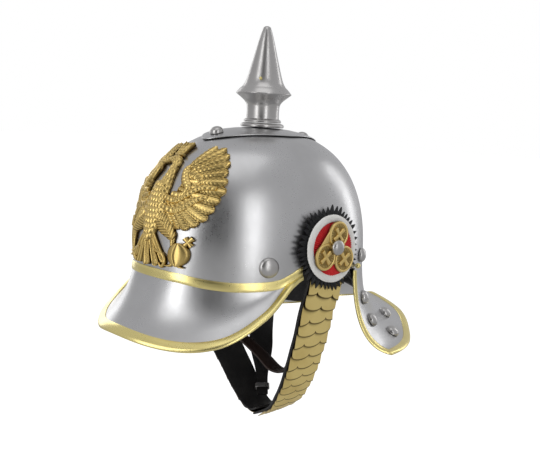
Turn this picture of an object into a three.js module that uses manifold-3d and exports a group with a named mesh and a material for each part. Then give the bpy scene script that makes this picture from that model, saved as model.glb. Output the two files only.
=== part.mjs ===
// Spiked steel helmet with a broad neck guard, brass trims, an eagle plate, side cockades and chin scales.
// Millimetres, +Z up. The origin is the middle of the head opening at brow level.
// The front looks along -Y, and the wearer's left is +X. A turn is an angle from the front towards +X.
import * as THREE from 'three';
import Module from 'manifold-3d';
import { mergeVertices } from 'three/addons/utils/BufferGeometryUtils.js';

const wasm = await Module();
wasm.setup();

// Skull: a raised steel shell
const SKULL_HALF_WIDTH = 98;
const SKULL_FRONT_REACH = 126;
const SKULL_REAR_REACH = 114;
const CROWN_HEIGHT = 126.8;
const CROWN_START = -2.2;
const CROWN_ROUNDNESS = 2.53;
const STEEL_WALL = 1.4;
const SEAT_GAP = 0.3;
const LAP_GAP = 0.95;
const EDGE_GAP = 1.2;
const BROW_DIP = 8.2;
const EAR_TURN = 117.7;
const BROW_TURN = 72.7;

// Visor and neck guard: flared plates lapped inside the skull's edge
const LAP_HEIGHT = 9;
const VISOR_REACH = 34;
const VISOR_DROP = 54;
const VISOR_STRAIGHT = 0.35;
const VISOR_CURVE = 2.4;
const GUARD_REACH = 72;
const GUARD_DROP = 80;
const WALL_OUT = 0.05;
const WALL_DOWN = 0.45;

// Brass trims and band
const BRASS_WALL = 1;
const BAND_WIDTH = 7;
const BAND_CROWN = 0.5;
const VISOR_TRIM_WIDTH = 8.5;
const GUARD_TRIM_WIDTH = 7.5;
const EAR_TRIM_WIDTH = 3.5;
const EAR_TRIM_START = 0.15;
const TRIM_TURN_IN = 4;
const TRIM_GAP = 0.9;
const EAR_BALL_RADIUS = 2.6;

// Spike and its base plate
const PLATE_HALF_LENGTH = 69.7;
const PLATE_HALF_WIDTH = 40.5;
const PLATE_POINT = 1.56;
const PLATE_WALL = 1.2;
const PLATE_GAP = 0.7;
const STUD_REACH = 55;
const STUD_RADIUS = 6.4;
const STUD_HEIGHT = 5.4;
const RING_RADIUS = 20.9;
const RING_HEIGHT = 4.2;
const SPIKE_HEIGHT = 90.5;
const FLANGE_RADIUS = 26.6;
const VENT_RADIUS = 1.5;
const VENT_RISE = 41;
const VENT_TURN = 36;

// Rivets
const BROW_RIVET_RADIUS = 9;
const BROW_RIVET_HEIGHT = 4;
const BROW_RIVET_RISE = 8.6;
const BROW_RIVET_TURN = 54.7;
const GUARD_RIVET_RADIUS = 7;
const GUARD_RIVET_HEIGHT = 5;

// Eagle plate
const EAGLE_FOOT = 2.4;
const EAGLE_TOP_DROP = 19.4;
const EAGLE_HEIGHT = CROWN_HEIGHT - EAGLE_TOP_DROP - EAGLE_FOOT;
const EAGLE_BREADTH = 0.5429;
const EAGLE_HALF_SPAN = EAGLE_HEIGHT * EAGLE_BREADTH;
const EAGLE_GAP = 0.8;
const FEATHER_LIFT = 2.9;
const FEATHER_STAGGER = 0.5;

// Cockade and boss
const COCKADE_RISE = 21.3;
const ROSETTE_RADIUS = 37.7;
const ROSETTE_PLEATS = 18;
const ROSETTE_WALL = 2;
const WHITE_RADIUS = 30.5;
const WHITE_WIDTH = 6.5;
const CLOTH_WALL = 1.2;
const TREFOIL_REACH = 15.5;
const LEAF_RADIUS = 11;
const LEAF_WALL = 1.6;
const LEAF_RELIEF = 0.9;
const TREFOIL_TURN = 8;
const KNOB_RADIUS = 7;
const KNOB_HEIGHT = 6;

// Chin scales, straps and lining
const SCALE_WIDTH = 39;
const SCALE_ROWS = 12;
const SCALE_STEP = 1.1;
const BACKING_WIDTH = 43;
const BACKING_WALL = 2;
const STRAP_BOW = 0.0033;
const CHIN_STRAP_WIDTH = 18;
const CHIN_STRAP_WALL = 2.2;
const NAPE_STRAP_WIDTH = 26;
const NAPE_STRAP_WALL = 2;
const KEEPER_WIDTH = 15;
const KEEPER_DEPTH = 6;
const KEEPER_WALL = 1.4;
const LINING_WALL = 1.6;
const LINING_TOP = 40;
const LINING_DROP = 30;
const STRAP_DROP = 161;
const STRAP_HANG = 90;
const STRAP_HUB_DROP = 20;
const TAPER_START = 0.45;
const TAPER_LOSS = 0.34;
const LAME_LOW = 0.45;
const KEEPER_STATION = 0.94;
const TONGUE_START = 0.6;
const TONGUE_FULL = 0.9;

// Skull edge above the brow level, as shares of the brow's dip, by turn from the front
const SKULL_EDGE = [
  { turn: 0, rise: -0.28 }, { turn: 15, rise: -0.44 }, { turn: 27, rise: -0.8 }, { turn: 38, rise: -1 },
  { turn: 50, rise: -0.95 }, { turn: 60, rise: -0.7 },
  { turn: 67, rise: -0.04 }, { turn: 72.7, rise: 0.68 },
  { turn: 85, rise: 1.2 }, { turn: 100, rise: 0.9 }, { turn: 110, rise: 0.4 }, { turn: 117.7, rise: 0 },
  { turn: 180, rise: 0 },
];

// Visor rim: reach and drop as shares of the visor's own, by turn from the front
const VISOR_RIM = [
  { turn: 0, reach: 1, drop: 0.93 }, { turn: 20, reach: 0.9, drop: 0.975 },
  { turn: 38, reach: 0.88, drop: 0.8 },
  { turn: 53, reach: 0.61, drop: 0.425 }, { turn: 64, reach: 0.28, drop: 0.1 },
  { turn: 72.7, reach: 0.09, drop: 0.1 },
];

// Neck guard from an ear (station 0) to the back (station 1): where the wall leaves the skull,
// where the rim lies, how far it reaches and drops, and how late its flare turns out
const GUARD_RIM = [
  { station: 0, wallTurn: 117.7, rimTurn: 123.7, reach: 0.53, drop: 1, flareOut: 0.25, flareDown: 0.95 },
  { station: 0.25, wallTurn: 134, rimTurn: 137.1, reach: 0.695, drop: 1, flareOut: 0.2, flareDown: 0.85 },
  { station: 0.5, wallTurn: 150, rimTurn: 151.6,
    reach: 0.845, drop: 0.963, flareOut: 0.16, flareDown: 0.78 },
  { station: 0.75, wallTurn: 165.5, rimTurn: 165.9,
    reach: 0.997, drop: 0.813, flareOut: 0.16, flareDown: 0.78 },
  { station: 1, wallTurn: 180, rimTurn: 180, reach: 1, drop: 0.688, flareOut: 0.16, flareDown: 0.78 },
];

// Spike outline from the neck's foot to the tip, as shares of the flange's radius and the spike's height
const SPIKE_OUTLINE = [
  { out: 0.66, up: 0 }, { out: 0.68, up: 0.014 }, { out: 0.64, up: 0.03 }, { out: 0.594, up: 0.04 },
  { out: 0.594, up: 0.17 }, { out: 0.63, up: 0.2 }, { out: 0.72, up: 0.232 }, { out: 0.86, up: 0.266 },
  { out: 0.975, up: 0.292 }, { out: 1, up: 0.302 }, { out: 0.97, up: 0.314 }, { out: 0.88, up: 0.345 },
  { out: 0.775, up: 0.375 }, { out: 0.685, up: 0.42 }, { out: 0.6, up: 0.495 }, { out: 0.44, up: 0.67 },
  { out: 0.27, up: 0.86 }, { out: 0.13, up: 0.985 }, { out: 0.07, up: 0.997 },
];

// Wing feathers, as shares of the eagle's half span and height: root, tip and half breadth
const WING_FEATHERS = [
  { rootOut: 0.32, rootUp: 0.8, tipOut: 0.45, tipUp: 0.99, half: 0.07 },
  { rootOut: 0.33, rootUp: 0.79, tipOut: 0.6, tipUp: 0.978, half: 0.075 },
  { rootOut: 0.34, rootUp: 0.77, tipOut: 0.72, tipUp: 0.93, half: 0.075 },
  { rootOut: 0.35, rootUp: 0.75, tipOut: 0.816, tipUp: 0.869, half: 0.075 },
  { rootOut: 0.36, rootUp: 0.73, tipOut: 0.877, tipUp: 0.797, half: 0.075 },
  { rootOut: 0.37, rootUp: 0.71, tipOut: 0.94, tipUp: 0.72, half: 0.075 },
  { rootOut: 0.37, rootUp: 0.68, tipOut: 0.98, tipUp: 0.645, half: 0.075 },
  { rootOut: 0.36, rootUp: 0.65, tipOut: 0.965, tipUp: 0.569, half: 0.075 },
  { rootOut: 0.34, rootUp: 0.62, tipOut: 0.94, tipUp: 0.492, half: 0.075 },
  { rootOut: 0.32, rootUp: 0.6, tipOut: 0.886, tipUp: 0.421, half: 0.075 },
  { rootOut: 0.3, rootUp: 0.58, tipOut: 0.79, tipUp: 0.369, half: 0.075 },
  { rootOut: 0.28, rootUp: 0.56, tipOut: 0.675, tipUp: 0.335, half: 0.07 },
  { rootOut: 0.25, rootUp: 0.54, tipOut: 0.553, tipUp: 0.335, half: 0.065 },
  { rootOut: 0.22, rootUp: 0.52, tipOut: 0.447, tipUp: 0.364, half: 0.06 },
];

// Other eagle forms, as shares of half span and height: three points of the ridge and half breadths.
// The sides column says on which sides of the middle a form lies.
const EAGLE_FORMS = [
  { name: 'body', sides: [1], a: [0, 0.66], b: [0, 0.46], c: [0, 0.22],
    halves: [0.18, 0.27, 0.12], lift: 5.5 },
  { name: 'neck', sides: [1], a: [0.02, 0.62], b: [0.09, 0.74], c: [0.03, 0.86],
    halves: [0.17, 0.11, 0.09], lift: 5 },
  { name: 'head', sides: [1], a: [0.06, 0.85], b: [-0.07, 0.875], c: [-0.26, 0.84],
    halves: [0.08, 0.09, 0.02], lift: 5.5 },
  { name: 'crown', sides: [1], a: [-0.05, 0.9], b: [-0.06, 0.95], c: [-0.07, 0.995],
    halves: [0.08, 0.12, 0.05], lift: 4.5 },
  { name: 'arm', sides: [1, -1], a: [0.17, 0.56], b: [0.32, 0.66], c: [0.31, 0.83],
    halves: [0.07, 0.07, 0.05], lift: 4.6 },
  { name: 'covert', sides: [1, -1], a: [0.16, 0.52], b: [0.52, 0.56], c: [0.8, 0.68],
    halves: [0.06, 0.06, 0.03], lift: 3.9 },
  { name: 'thigh', sides: [1, -1], a: [0.14, 0.4], b: [0.33, 0.34], c: [0.5, 0.25],
    halves: [0.12, 0.13, 0.06], lift: 4.8 },
  { name: 'leg', sides: [1, -1], a: [0.47, 0.28], b: [0.5, 0.17], c: [0.47, 0.07],
    halves: [0.05, 0.035, 0.035], lift: 3 },
  { name: 'talon', sides: [1, -1], a: [0.44, 0.09], b: [0.53, 0.03], c: [0.7, 0.02],
    halves: [0.03, 0.035, 0.015], lift: 3.2 },
  { name: 'sceptre', sides: [-1], a: [0.46, 0.1], b: [0.62, 0.18], c: [0.78, 0.27],
    halves: [0.025, 0.025, 0.05], lift: 3.4 },
  { name: 'orb', sides: [1], a: [0.59, 0.22], b: [0.59, 0.13], c: [0.59, 0.04],
    halves: [0.05, 0.168, 0.05], lift: 6 },
  { name: 'cross_stem', sides: [1], a: [0.65, 0.2], b: [0.71, 0.235], c: [0.77, 0.27],
    halves: [0.03, 0.03, 0.035], lift: 3 },
  { name: 'cross_arm', sides: [1], a: [0.65, 0.262], b: [0.71, 0.235], c: [0.77, 0.208],
    halves: [0.035, 0.03, 0.035], lift: 3 },
  { name: 'tail_middle', sides: [1], a: [0, 0.3], b: [0, 0.12], c: [0, 0.005],
    halves: [0.05, 0.07, 0.09], lift: 4.2 },
  { name: 'tail_inner', sides: [1, -1], a: [0.05, 0.28], b: [0.14, 0.13], c: [0.22, 0.012],
    halves: [0.05, 0.06, 0.075], lift: 3.6 },
  { name: 'tail_outer', sides: [1, -1], a: [0.08, 0.28], b: [0.25, 0.16], c: [0.36, 0.06],
    halves: [0.05, 0.055, 0.065], lift: 3 },
];

// Guard rivets: two on the wall line and two on the flare, as stations from ear to back and drop shares
const GUARD_RIVETS = [
  { station: 0.2, down: 0.3 }, { station: 0.22, down: 0.56 },
  { station: 0.62, down: 0.8 }, { station: 0.36, down: 0.84 },
];
const WALL_RIVET = { turn: 127, rise: 10.4 };

// Strap routes at the strap's middle, from the boss or wall to the chin,
// as shares of the skull's half width, of its reach to the front (below 0) or rear, and of the straps' drop
const SCALE_ROUTE_LEFT = [
  [1.0204, 0, 0.1988], [1.0306, -0.008, 0.0497], [1.0235, -0.0318, -0.0745],
  [0.9898, -0.0635, -0.2112], [0.9388, -0.0556, -0.3416], [0.8367, -0.0397, -0.5217],
  [0.7347, -0.008, -0.646], [0.6122, 0.0351, -0.7516], [0.4082, 0.1053, -0.882],
  [0.0816, 0.1404, -1],
];
const SCALE_ROUTE_RIGHT = [
  [-1.0204, 0, 0.1988], [-1.0306, 0, 0.0497], [-1.0235, 0.0175, -0.0745],
  [-0.9796, 0.0351, -0.2112], [-0.898, 0.1053, -0.3975], [-0.7755, 0.1579, -0.5466],
  [-0.6327, 0.1754, -0.6708], [-0.4694, 0.193, -0.7888], [-0.2449, 0.1754, -0.9068],
  [-0.0816, 0.1579, -0.9658], [0.0408, 0.1491, -0.9789], [0.1633, 0.1316, -0.9435],
];
const CHIN_STRAP_ROUTE = [
  [-0.8592, -0.3777, 0.0745], [-0.852, -0.373, -0.0621], [-0.6735, -0.3333, -0.2733],
  [-0.3265, -0.1905, -0.4224], [0, -0.0873, -0.5093], [0.2551, -0.0556, -0.5839],
  [0.4592, -0.0476, -0.6398], [0.6224, -0.0397, -0.6211], [0.7653, -0.0476, -0.4845],
  [0.8673, -0.0635, -0.3106], [0.9235, -0.0476, -0.1118], [0.9306, -0.0158, 0.087],
];
const NAPE_STRAP_ROUTE = [
  [-0.6633, 0.6535, 0.0497], [-0.6633, 0.6535, -0.1491], [-0.6888, 0.6623, -0.3354],
  [-0.6786, 0.6579, -0.4845], [-0.602, 0.5965, -0.6398], [-0.3469, 0.4254, -0.7826],
  [-0.0204, 0.193, -0.9161],
];

// Lower edge of the lining as shares of its drop, by turn from the front
const LINING_EDGE = [
  { turn: 0, rise: 0 }, { turn: 60, rise: 0 }, { turn: 80, rise: 0.12 }, { turn: 100, rise: 0.06 },
  { turn: 117.7, rise: -0.3 }, { turn: 135, rise: -0.85 }, { turn: 150, rise: -1 }, { turn: 180, rise: -1 },
];

// Interpolation between the rows of a table, with smooth joins
function between(table, column, key, value) {
  const last = table.length - 1;
  let row = 0;
  while (row < last - 1 && value > table[row + 1][column]) row += 1;
  const slope = (i) => {
    const before = Math.max(i - 1, 0);
    const after = Math.min(i + 1, last);
    if (before === after - 1 && i === 0) return 0;
    return (table[after][key] - table[before][key]) / (table[after][column] - table[before][column]);
  };
  const start = table[row];
  const end = table[row + 1];
  const span = end[column] - start[column];
  const t = THREE.MathUtils.clamp((value - start[column]) / span, 0, 1);
  const endSlope = row + 1 === last ? 0 : slope(row + 1);
  const t2 = t * t;
  const t3 = t2 * t;
  return start[key] * (2 * t3 - 3 * t2 + 1) + slope(row) * span * (t3 - 2 * t2 + t)
    + end[key] * (3 * t2 - 2 * t3) + endSlope * span * (t3 - t2);
}

// Skull surface
function planRadius(turn, inset = 0) {
  const reach = Math.cos(turn) > 0 ? SKULL_FRONT_REACH : SKULL_REAR_REACH;
  const across = Math.sin(turn) / (SKULL_HALF_WIDTH - inset);
  const along = Math.cos(turn) / (reach - inset);
  return 1 / Math.sqrt(across * across + along * along);
}

function crownShare(z, inset = 0) {
  const rise = THREE.MathUtils.clamp((z - CROWN_START) / (CROWN_HEIGHT - inset), 0, 1);
  return (1 - rise ** CROWN_ROUNDNESS) ** (1 / CROWN_ROUNDNESS);
}

function skullPoint(turn, z, inset = 0) {
  const radius = planRadius(turn, inset) * crownShare(z, inset);
  return new THREE.Vector3(radius * Math.sin(turn), -radius * Math.cos(turn), z);
}

function crownTop(x, y) {
  const reach = y < 0 ? SKULL_FRONT_REACH : SKULL_REAR_REACH;
  const share = Math.min(Math.hypot(x / SKULL_HALF_WIDTH, y / reach), 1);
  return CROWN_START + CROWN_HEIGHT * (1 - share ** CROWN_ROUNDNESS) ** (1 / CROWN_ROUNDNESS);
}

function skullNormal(point) {
  const reach = point.y < 0 ? SKULL_FRONT_REACH : SKULL_REAR_REACH;
  const share = Math.max(Math.hypot(point.x / SKULL_HALF_WIDTH, point.y / reach), 1e-4);
  const rise = Math.max((point.z - CROWN_START) / CROWN_HEIGHT, 0);
  const outward = share ** (CROWN_ROUNDNESS - 2);
  return new THREE.Vector3(
    outward * point.x / SKULL_HALF_WIDTH ** 2,
    outward * point.y / reach ** 2,
    rise ** (CROWN_ROUNDNESS - 1) / CROWN_HEIGHT,
  ).normalize();
}

function skullEdge(turn) {
  const degrees = Math.abs(THREE.MathUtils.radToDeg(turn));
  return BROW_DIP * between(SKULL_EDGE, 'turn', 'rise', degrees);
}

// A point over the skull seen from the front (x, z) or from a side (y, z), raised by lift
function overFront(x, z, lift) {
  const share = crownShare(z);
  const y = -SKULL_FRONT_REACH * Math.sqrt(Math.max(share ** 2 - (x / SKULL_HALF_WIDTH) ** 2, 0));
  const point = new THREE.Vector3(x, y, z);
  return point.addScaledVector(skullNormal(point), lift);
}

function overSide(side, y, z, lift) {
  const reach = y < 0 ? SKULL_FRONT_REACH : SKULL_REAR_REACH;
  const x = side * SKULL_HALF_WIDTH * Math.sqrt(crownShare(z) ** 2 - (y / reach) ** 2);
  const point = new THREE.Vector3(x, y, z);
  return point.addScaledVector(skullNormal(point), lift);
}

// Closed geometry from shared corners, turned so that its faces look out
function closedGeometry(points, faces) {
  let volume = 0;
  for (const [a, b, c] of faces) {
    volume += points[a].dot(points[b].clone().cross(points[c]));
  }
  const geometry = new THREE.BufferGeometry();
  const corners = points.flatMap((p) => [p.x, p.y, p.z]);
  geometry.setAttribute('position', new THREE.Float32BufferAttribute(corners, 3));
  geometry.setIndex(faces.flatMap(([a, b, c]) => (volume > 0 ? [a, b, c] : [a, c, b])));
  return geometry;
}

// A loft through closed rings of points, its ends closed by a middle point, or joined end to end
function loft(rings, looped = false) {
  const count = rings[0].length;
  const points = rings.flat();
  const faces = [];
  const spans = looped ? rings.length : rings.length - 1;
  for (let i = 0; i < spans; i += 1) {
    const next = (i + 1) % rings.length;
    for (let j = 0; j < count; j += 1) {
      const k = (j + 1) % count;
      faces.push([i * count + j, i * count + k, next * count + k]);
      faces.push([i * count + j, next * count + k, next * count + j]);
    }
  }
  if (!looped) {
    for (const [ring, flip] of [[0, true], [rings.length - 1, false]]) {
      const middle = new THREE.Vector3();
      for (const p of rings[ring]) middle.add(p);
      points.push(middle.divideScalar(count));
      for (let j = 0; j < count; j += 1) {
        const here = ring * count + j;
        const after = ring * count + (j + 1) % count;
        faces.push(flip ? [points.length - 1, after, here] : [points.length - 1, here, after]);
      }
    }
  }
  return closedGeometry(points, faces);
}

// A thin sheet: an outer grid of points and its copy set in by the wall, joined round the border
function sheet(outer, wall, innerGrid = null) {
  const rows = outer.length;
  const columns = outer[0].length;
  const inner = innerGrid ?? insetGrid(outer, wall);
  const points = [...outer.flat(), ...inner.flat()];
  const faces = [];
  const at = (layer, i, j) => layer * rows * columns + i * columns + j;
  const quad = (a, b, c, d) => faces.push([a, b, c], [a, c, d]);
  for (let i = 0; i < rows - 1; i += 1) {
    for (let j = 0; j < columns - 1; j += 1) {
      quad(at(0, i, j), at(0, i, j + 1), at(0, i + 1, j + 1), at(0, i + 1, j));
      quad(at(1, i, j), at(1, i + 1, j), at(1, i + 1, j + 1), at(1, i, j + 1));
    }
  }
  for (let i = 0; i < rows - 1; i += 1) {
    quad(at(0, i, 0), at(0, i + 1, 0), at(1, i + 1, 0), at(1, i, 0));
    quad(at(0, i, columns - 1), at(1, i, columns - 1), at(1, i + 1, columns - 1), at(0, i + 1, columns - 1));
  }
  for (let j = 0; j < columns - 1; j += 1) {
    quad(at(0, 0, j), at(1, 0, j), at(1, 0, j + 1), at(0, 0, j + 1));
    quad(at(0, rows - 1, j), at(0, rows - 1, j + 1), at(1, rows - 1, j + 1), at(1, rows - 1, j));
  }
  return closedGeometry(points, faces);
}

// Shares from 0 to 1 in a whole number of even steps
function steps(count) {
  const whole = Math.round(count);
  return Array.from({ length: whole + 1 }, (_, i) => i / whole);
}

// Joining of closed solids
function solidOf(geometry) {
  const bare = geometry.clone();
  bare.deleteAttribute('normal');
  bare.deleteAttribute('uv');
  const merged = mergeVertices(bare, 1e-5);
  return new wasm.Manifold(new wasm.Mesh({
    numProp: 3,
    vertProperties: new Float32Array(merged.attributes.position.array),
    triVerts: new Uint32Array(merged.index.array),
  }));
}

function joined(geometries) {
  let whole = null;
  for (const geometry of geometries) {
    const solid = solidOf(geometry);
    whole = whole ? whole.add(solid) : solid;
  }
  const skin = whole.decompose().filter((part) => part.volume() > 0);
  const mesh = wasm.Manifold.union(skin).getMesh();
  const geometry = new THREE.BufferGeometry();
  geometry.setAttribute('position', new THREE.BufferAttribute(new Float32Array(mesh.vertProperties), 3));
  geometry.setIndex(new THREE.BufferAttribute(new Uint32Array(mesh.triVerts), 1));
  return geometry;
}

// Finishes
function finish(color, roughness, metalness) {
  return new THREE.MeshStandardMaterial({ color, roughness, metalness });
}

const steel = finish(0xa9aaac, 0.28, 1);
const brass = finish(0xd8c46a, 0.3, 1);
const gilt = finish(0xc8a347, 0.35, 1);
const blackLeather = finish(0x17130f, 0.6, 0);
const brownLeather = finish(0x1e110c, 0.6, 0);
const blackCloth = finish(0x0e0e10, 0.8, 0);
const whiteCloth = finish(0xe9e6dc, 0.7, 0);
const redCloth = finish(0xb41e22, 0.7, 0);

const helmet = new THREE.Group();

function addPiece(name, geometry, material) {
  const mesh = new THREE.Mesh(geometry, material);
  mesh.name = name;
  helmet.add(mesh);
  return mesh;
}

const LAP_INSET = STEEL_WALL + LAP_GAP;

// Skull shell, open below: rings from the outer edge over the crown and back down inside
const SKULL_SIDES = 48;
const SKULL_RINGS = 7;

function skullShell() {
  const ring = (share, inset) => steps(SKULL_SIDES).slice(0, -1).map((s) => {
    const turn = (s * 2 - 1) * Math.PI;
    const edge = skullEdge(turn);
    const top = CROWN_START + CROWN_HEIGHT - inset;
    return skullPoint(turn, edge + (top - edge) * share, inset);
  });
  const rise = (s) => Math.sin(s * Math.PI / 2) ** (2 / CROWN_ROUNDNESS);
  const shares = steps(SKULL_RINGS).slice(0, -1).map(rise);
  const outside = shares.map((share) => ring(share, 0));
  const inside = shares.map((share) => ring(share, STEEL_WALL));
  return loft([...outside.reverse(), ...inside]);
}

addPiece('skull', skullShell(), steel);

// Flared plate: a lap inside the skull's edge, a joggle out to the skull's face, and then the flare
function insetGrid(outer, wall) {
  return outer.map((row, i) => row.map((p, j) => {
    const along = outer[Math.min(i + 1, outer.length - 1)][j].clone().sub(outer[Math.max(i - 1, 0)][j]);
    const across = row[Math.min(j + 1, row.length - 1)].clone().sub(row[Math.max(j - 1, 0)]);
    return p.clone().addScaledVector(along.cross(across).normalize(), wall);
  }));
}

function lappedPlate(turns, flareRow) {
  const outer = turns.map((turn, i) => {
    const edge = skullEdge(turn);
    const low = edge - EDGE_GAP * 0.6;
    const lap = [skullPoint(turn, edge + LAP_HEIGHT, LAP_INSET), skullPoint(turn, low, LAP_INSET)];
    return [...lap, ...flareRow(i, turn)];
  });
  const inner = insetGrid(outer, STEEL_WALL);
  turns.forEach((turn, i) => {
    const edge = skullEdge(turn);
    inner[i][0] = skullPoint(turn, edge + LAP_HEIGHT, LAP_INSET + STEEL_WALL);
    inner[i][1] = skullPoint(turn, edge - SEAT_GAP - STEEL_WALL, LAP_INSET + STEEL_WALL);
  });
  return { outer, inner };
}

// Visor
const VISOR_STATIONS = 24;
const VISOR_SHARES = [0, 0.2, 0.46, 0.74, 1];

function visorPoint(turn, share) {
  const degrees = Math.abs(THREE.MathUtils.radToDeg(turn));
  const reach = VISOR_REACH * between(VISOR_RIM, 'turn', 'reach', degrees);
  const drop = VISOR_DROP * between(VISOR_RIM, 'turn', 'drop', degrees);
  const point = skullPoint(turn, skullEdge(turn) - EDGE_GAP);
  const out = reach * (VISOR_STRAIGHT * share + (1 - VISOR_STRAIGHT) * share ** VISOR_CURVE);
  point.x += out * Math.sin(turn);
  point.y -= out * Math.cos(turn);
  point.z -= drop * share;
  return point;
}

const browSpan = THREE.MathUtils.degToRad(BROW_TURN);
const visorTurns = steps(VISOR_STATIONS).map((s) => (s * 2 - 1) * browSpan);
const visor = lappedPlate(visorTurns, (i, turn) => VISOR_SHARES.map((share) => visorPoint(turn, share)));
addPiece('visor', sheet(visor.outer, STEEL_WALL, visor.inner), steel);

// Neck guard
const GUARD_STATIONS = 24;
const GUARD_SHARES = [0, 0.2, 0.4, 0.58, 0.73, 0.87, 1];

function guardRead(along) {
  const away = 1 - Math.abs(along);
  const side = along < 0 ? 1 : -1;
  const read = (key) => between(GUARD_RIM, 'station', key, away);
  return { side, read };
}

function guardPoint(along, share) {
  const { side, read } = guardRead(along);
  const wallTurn = side * THREE.MathUtils.degToRad(read('wallTurn'));
  const rimTurn = side * THREE.MathUtils.degToRad(read('rimTurn'));
  const reach = GUARD_REACH * read('reach');
  const left = 1 - share;
  const early = 3 * left * left * share;
  const late = 3 * left * share * share;
  const out = early * WALL_OUT + late * read('flareOut') + share ** 3;
  const down = early * WALL_DOWN + late * read('flareDown') + share ** 3;
  const root = skullPoint(wallTurn, skullEdge(wallTurn) - EDGE_GAP);
  const rim = skullPoint(rimTurn, skullEdge(rimTurn));
  rim.x += Math.sin(rimTurn) * reach;
  rim.y -= Math.cos(rimTurn) * reach;
  const point = root.clone().lerp(rim, out);
  point.z = root.z - GUARD_DROP * read('drop') * down;
  return point;
}

const guardAlongs = steps(GUARD_STATIONS).map((s) => s * 2 - 1);
const guardTurns = guardAlongs.map((along) => {
  const { side, read } = guardRead(along);
  return side * THREE.MathUtils.degToRad(read('wallTurn'));
});
const guard = lappedPlate(guardTurns, (i) => GUARD_SHARES.map((share) => guardPoint(guardAlongs[i], share)));
addPiece('neck_guard', sheet(guard.outer, STEEL_WALL, guard.inner), steel);

// Brass trims: a channel folded round a plate's outline, following the plate inwards. Each outline entry
// is the line of plate points that leads inwards from the edge, with the trim's width there.
const FLARE_START = 2;

function walkIn(line, distance) {
  let left = distance;
  let k = 0;
  while (k < line.length - 2 && left > line[k].distanceTo(line[k + 1])) {
    left -= line[k].distanceTo(line[k + 1]);
    k += 1;
  }
  const inward = line[k + 1].clone().sub(line[k]).normalize();
  return { point: line[k].clone().addScaledVector(inward, left), inward };
}

const rimLines = (outer, width) => outer.map((row) => ({ line: row.slice(FLARE_START).reverse(), width }));

function trimRings(outline, clear) {
  return outline.map(({ line, width }, i) => {
    const before = outline[Math.max(i - 1, 0)].line[0];
    const after = outline[Math.min(i + 1, outline.length - 1)].line[0];
    const along = after.clone().sub(before).normalize();
    const length = line.slice(1).reduce((sum, p, k) => sum + p.distanceTo(line[k]), 0);
    const reach = Math.min(width, length - clear);
    const turnIn = Math.min(TRIM_TURN_IN, reach);
    const low = -STEEL_WALL - TRIM_GAP;
    const section = [
      [-TRIM_GAP - BRASS_WALL, low], [-TRIM_GAP, low - BRASS_WALL], [turnIn, low - BRASS_WALL],
      [turnIn, low], [-TRIM_GAP, low], [-TRIM_GAP, TRIM_GAP], [reach, TRIM_GAP],
      [reach, TRIM_GAP + BRASS_WALL * 0.5], [reach * 0.5, TRIM_GAP + BRASS_WALL],
      [-TRIM_GAP, TRIM_GAP + BRASS_WALL], [-TRIM_GAP - BRASS_WALL, TRIM_GAP],
    ];
    return section.map(([into, up]) => {
      const { point, inward } = walkIn(line, into);
      return point.addScaledVector(along.clone().cross(inward).normalize(), up);
    });
  });
}

// Caps of a channel's section, whose middle lies in the open, as triangles between its own corners
const CHANNEL_CAPS = [
  [0, 1, 4], [1, 3, 4], [1, 2, 3], [0, 4, 5], [0, 5, 10], [5, 9, 10], [5, 6, 8], [5, 8, 9], [6, 7, 8],
];

function channel(rings) {
  const count = rings[0].length;
  const points = rings.flat();
  const faces = [];
  for (let i = 0; i < rings.length - 1; i += 1) {
    for (let j = 0; j < count; j += 1) {
      const k = (j + 1) % count;
      faces.push([i * count + j, i * count + k, (i + 1) * count + k]);
      faces.push([i * count + j, (i + 1) * count + k, (i + 1) * count + j]);
    }
  }
  const end = (rings.length - 1) * count;
  for (const [a, b, c] of CHANNEL_CAPS) {
    faces.push([c, b, a], [end + a, end + b, end + c]);
  }
  return closedGeometry(points, faces);
}

const visorRim = rimLines(visor.outer, VISOR_TRIM_WIDTH);
addPiece('visor_trim', channel(trimRings(visorRim, BAND_WIDTH / 2 + TRIM_GAP)), brass);

// The guard's trim also runs up both front edges to the ears, narrower towards the top
const lastRow = guard.outer[0].length - 1;
const frontEdge = (columns) => {
  const lines = [];
  for (let k = FLARE_START; k < lastRow; k += 1) {
    const share = (k - FLARE_START) / (lastRow - FLARE_START);
    const lower = k === FLARE_START ? EAR_TRIM_START : 0;
    lines.push({
      line: columns.map((column) => column[k].clone().lerp(column[k + 1], lower)),
      width: THREE.MathUtils.lerp(EAR_TRIM_WIDTH, GUARD_TRIM_WIDTH, share),
    });
  }
  return lines;
};
const cornerLine = (columns) => ({
  line: columns.map((column, i) => column[Math.max(lastRow - i, FLARE_START)]),
  width: GUARD_TRIM_WIDTH,
});
const guardOutline = [
  ...frontEdge(guard.outer.slice(0, 5)),
  cornerLine(guard.outer.slice(0, 5)),
  ...rimLines(guard.outer, GUARD_TRIM_WIDTH).slice(1, -1),
  cornerLine(guard.outer.toReversed().slice(0, 5)),
  ...frontEdge(guard.outer.toReversed().slice(0, 5)).reverse(),
];
addPiece('neck_trim', channel(trimRings(guardOutline, TRIM_GAP)), brass);

// Brow band: a brass strip creased along the joint, half on the skull and half on the visor
function visorWalk(i, distance, lift) {
  const row = visor.outer[i];
  let left = distance;
  let k = FLARE_START;
  while (k < row.length - 2 && left > row[k].distanceTo(row[k + 1])) {
    left -= row[k].distanceTo(row[k + 1]);
    k += 1;
  }
  const outward = row[k + 1].clone().sub(row[k]).normalize();
  const before = visor.outer[Math.max(i - 1, 0)][k];
  const after = visor.outer[Math.min(i + 1, visor.outer.length - 1)][k];
  const normal = outward.clone().cross(after.clone().sub(before)).normalize();
  return row[k].clone().addScaledVector(outward, left).addScaledVector(normal, lift);
}

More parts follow.
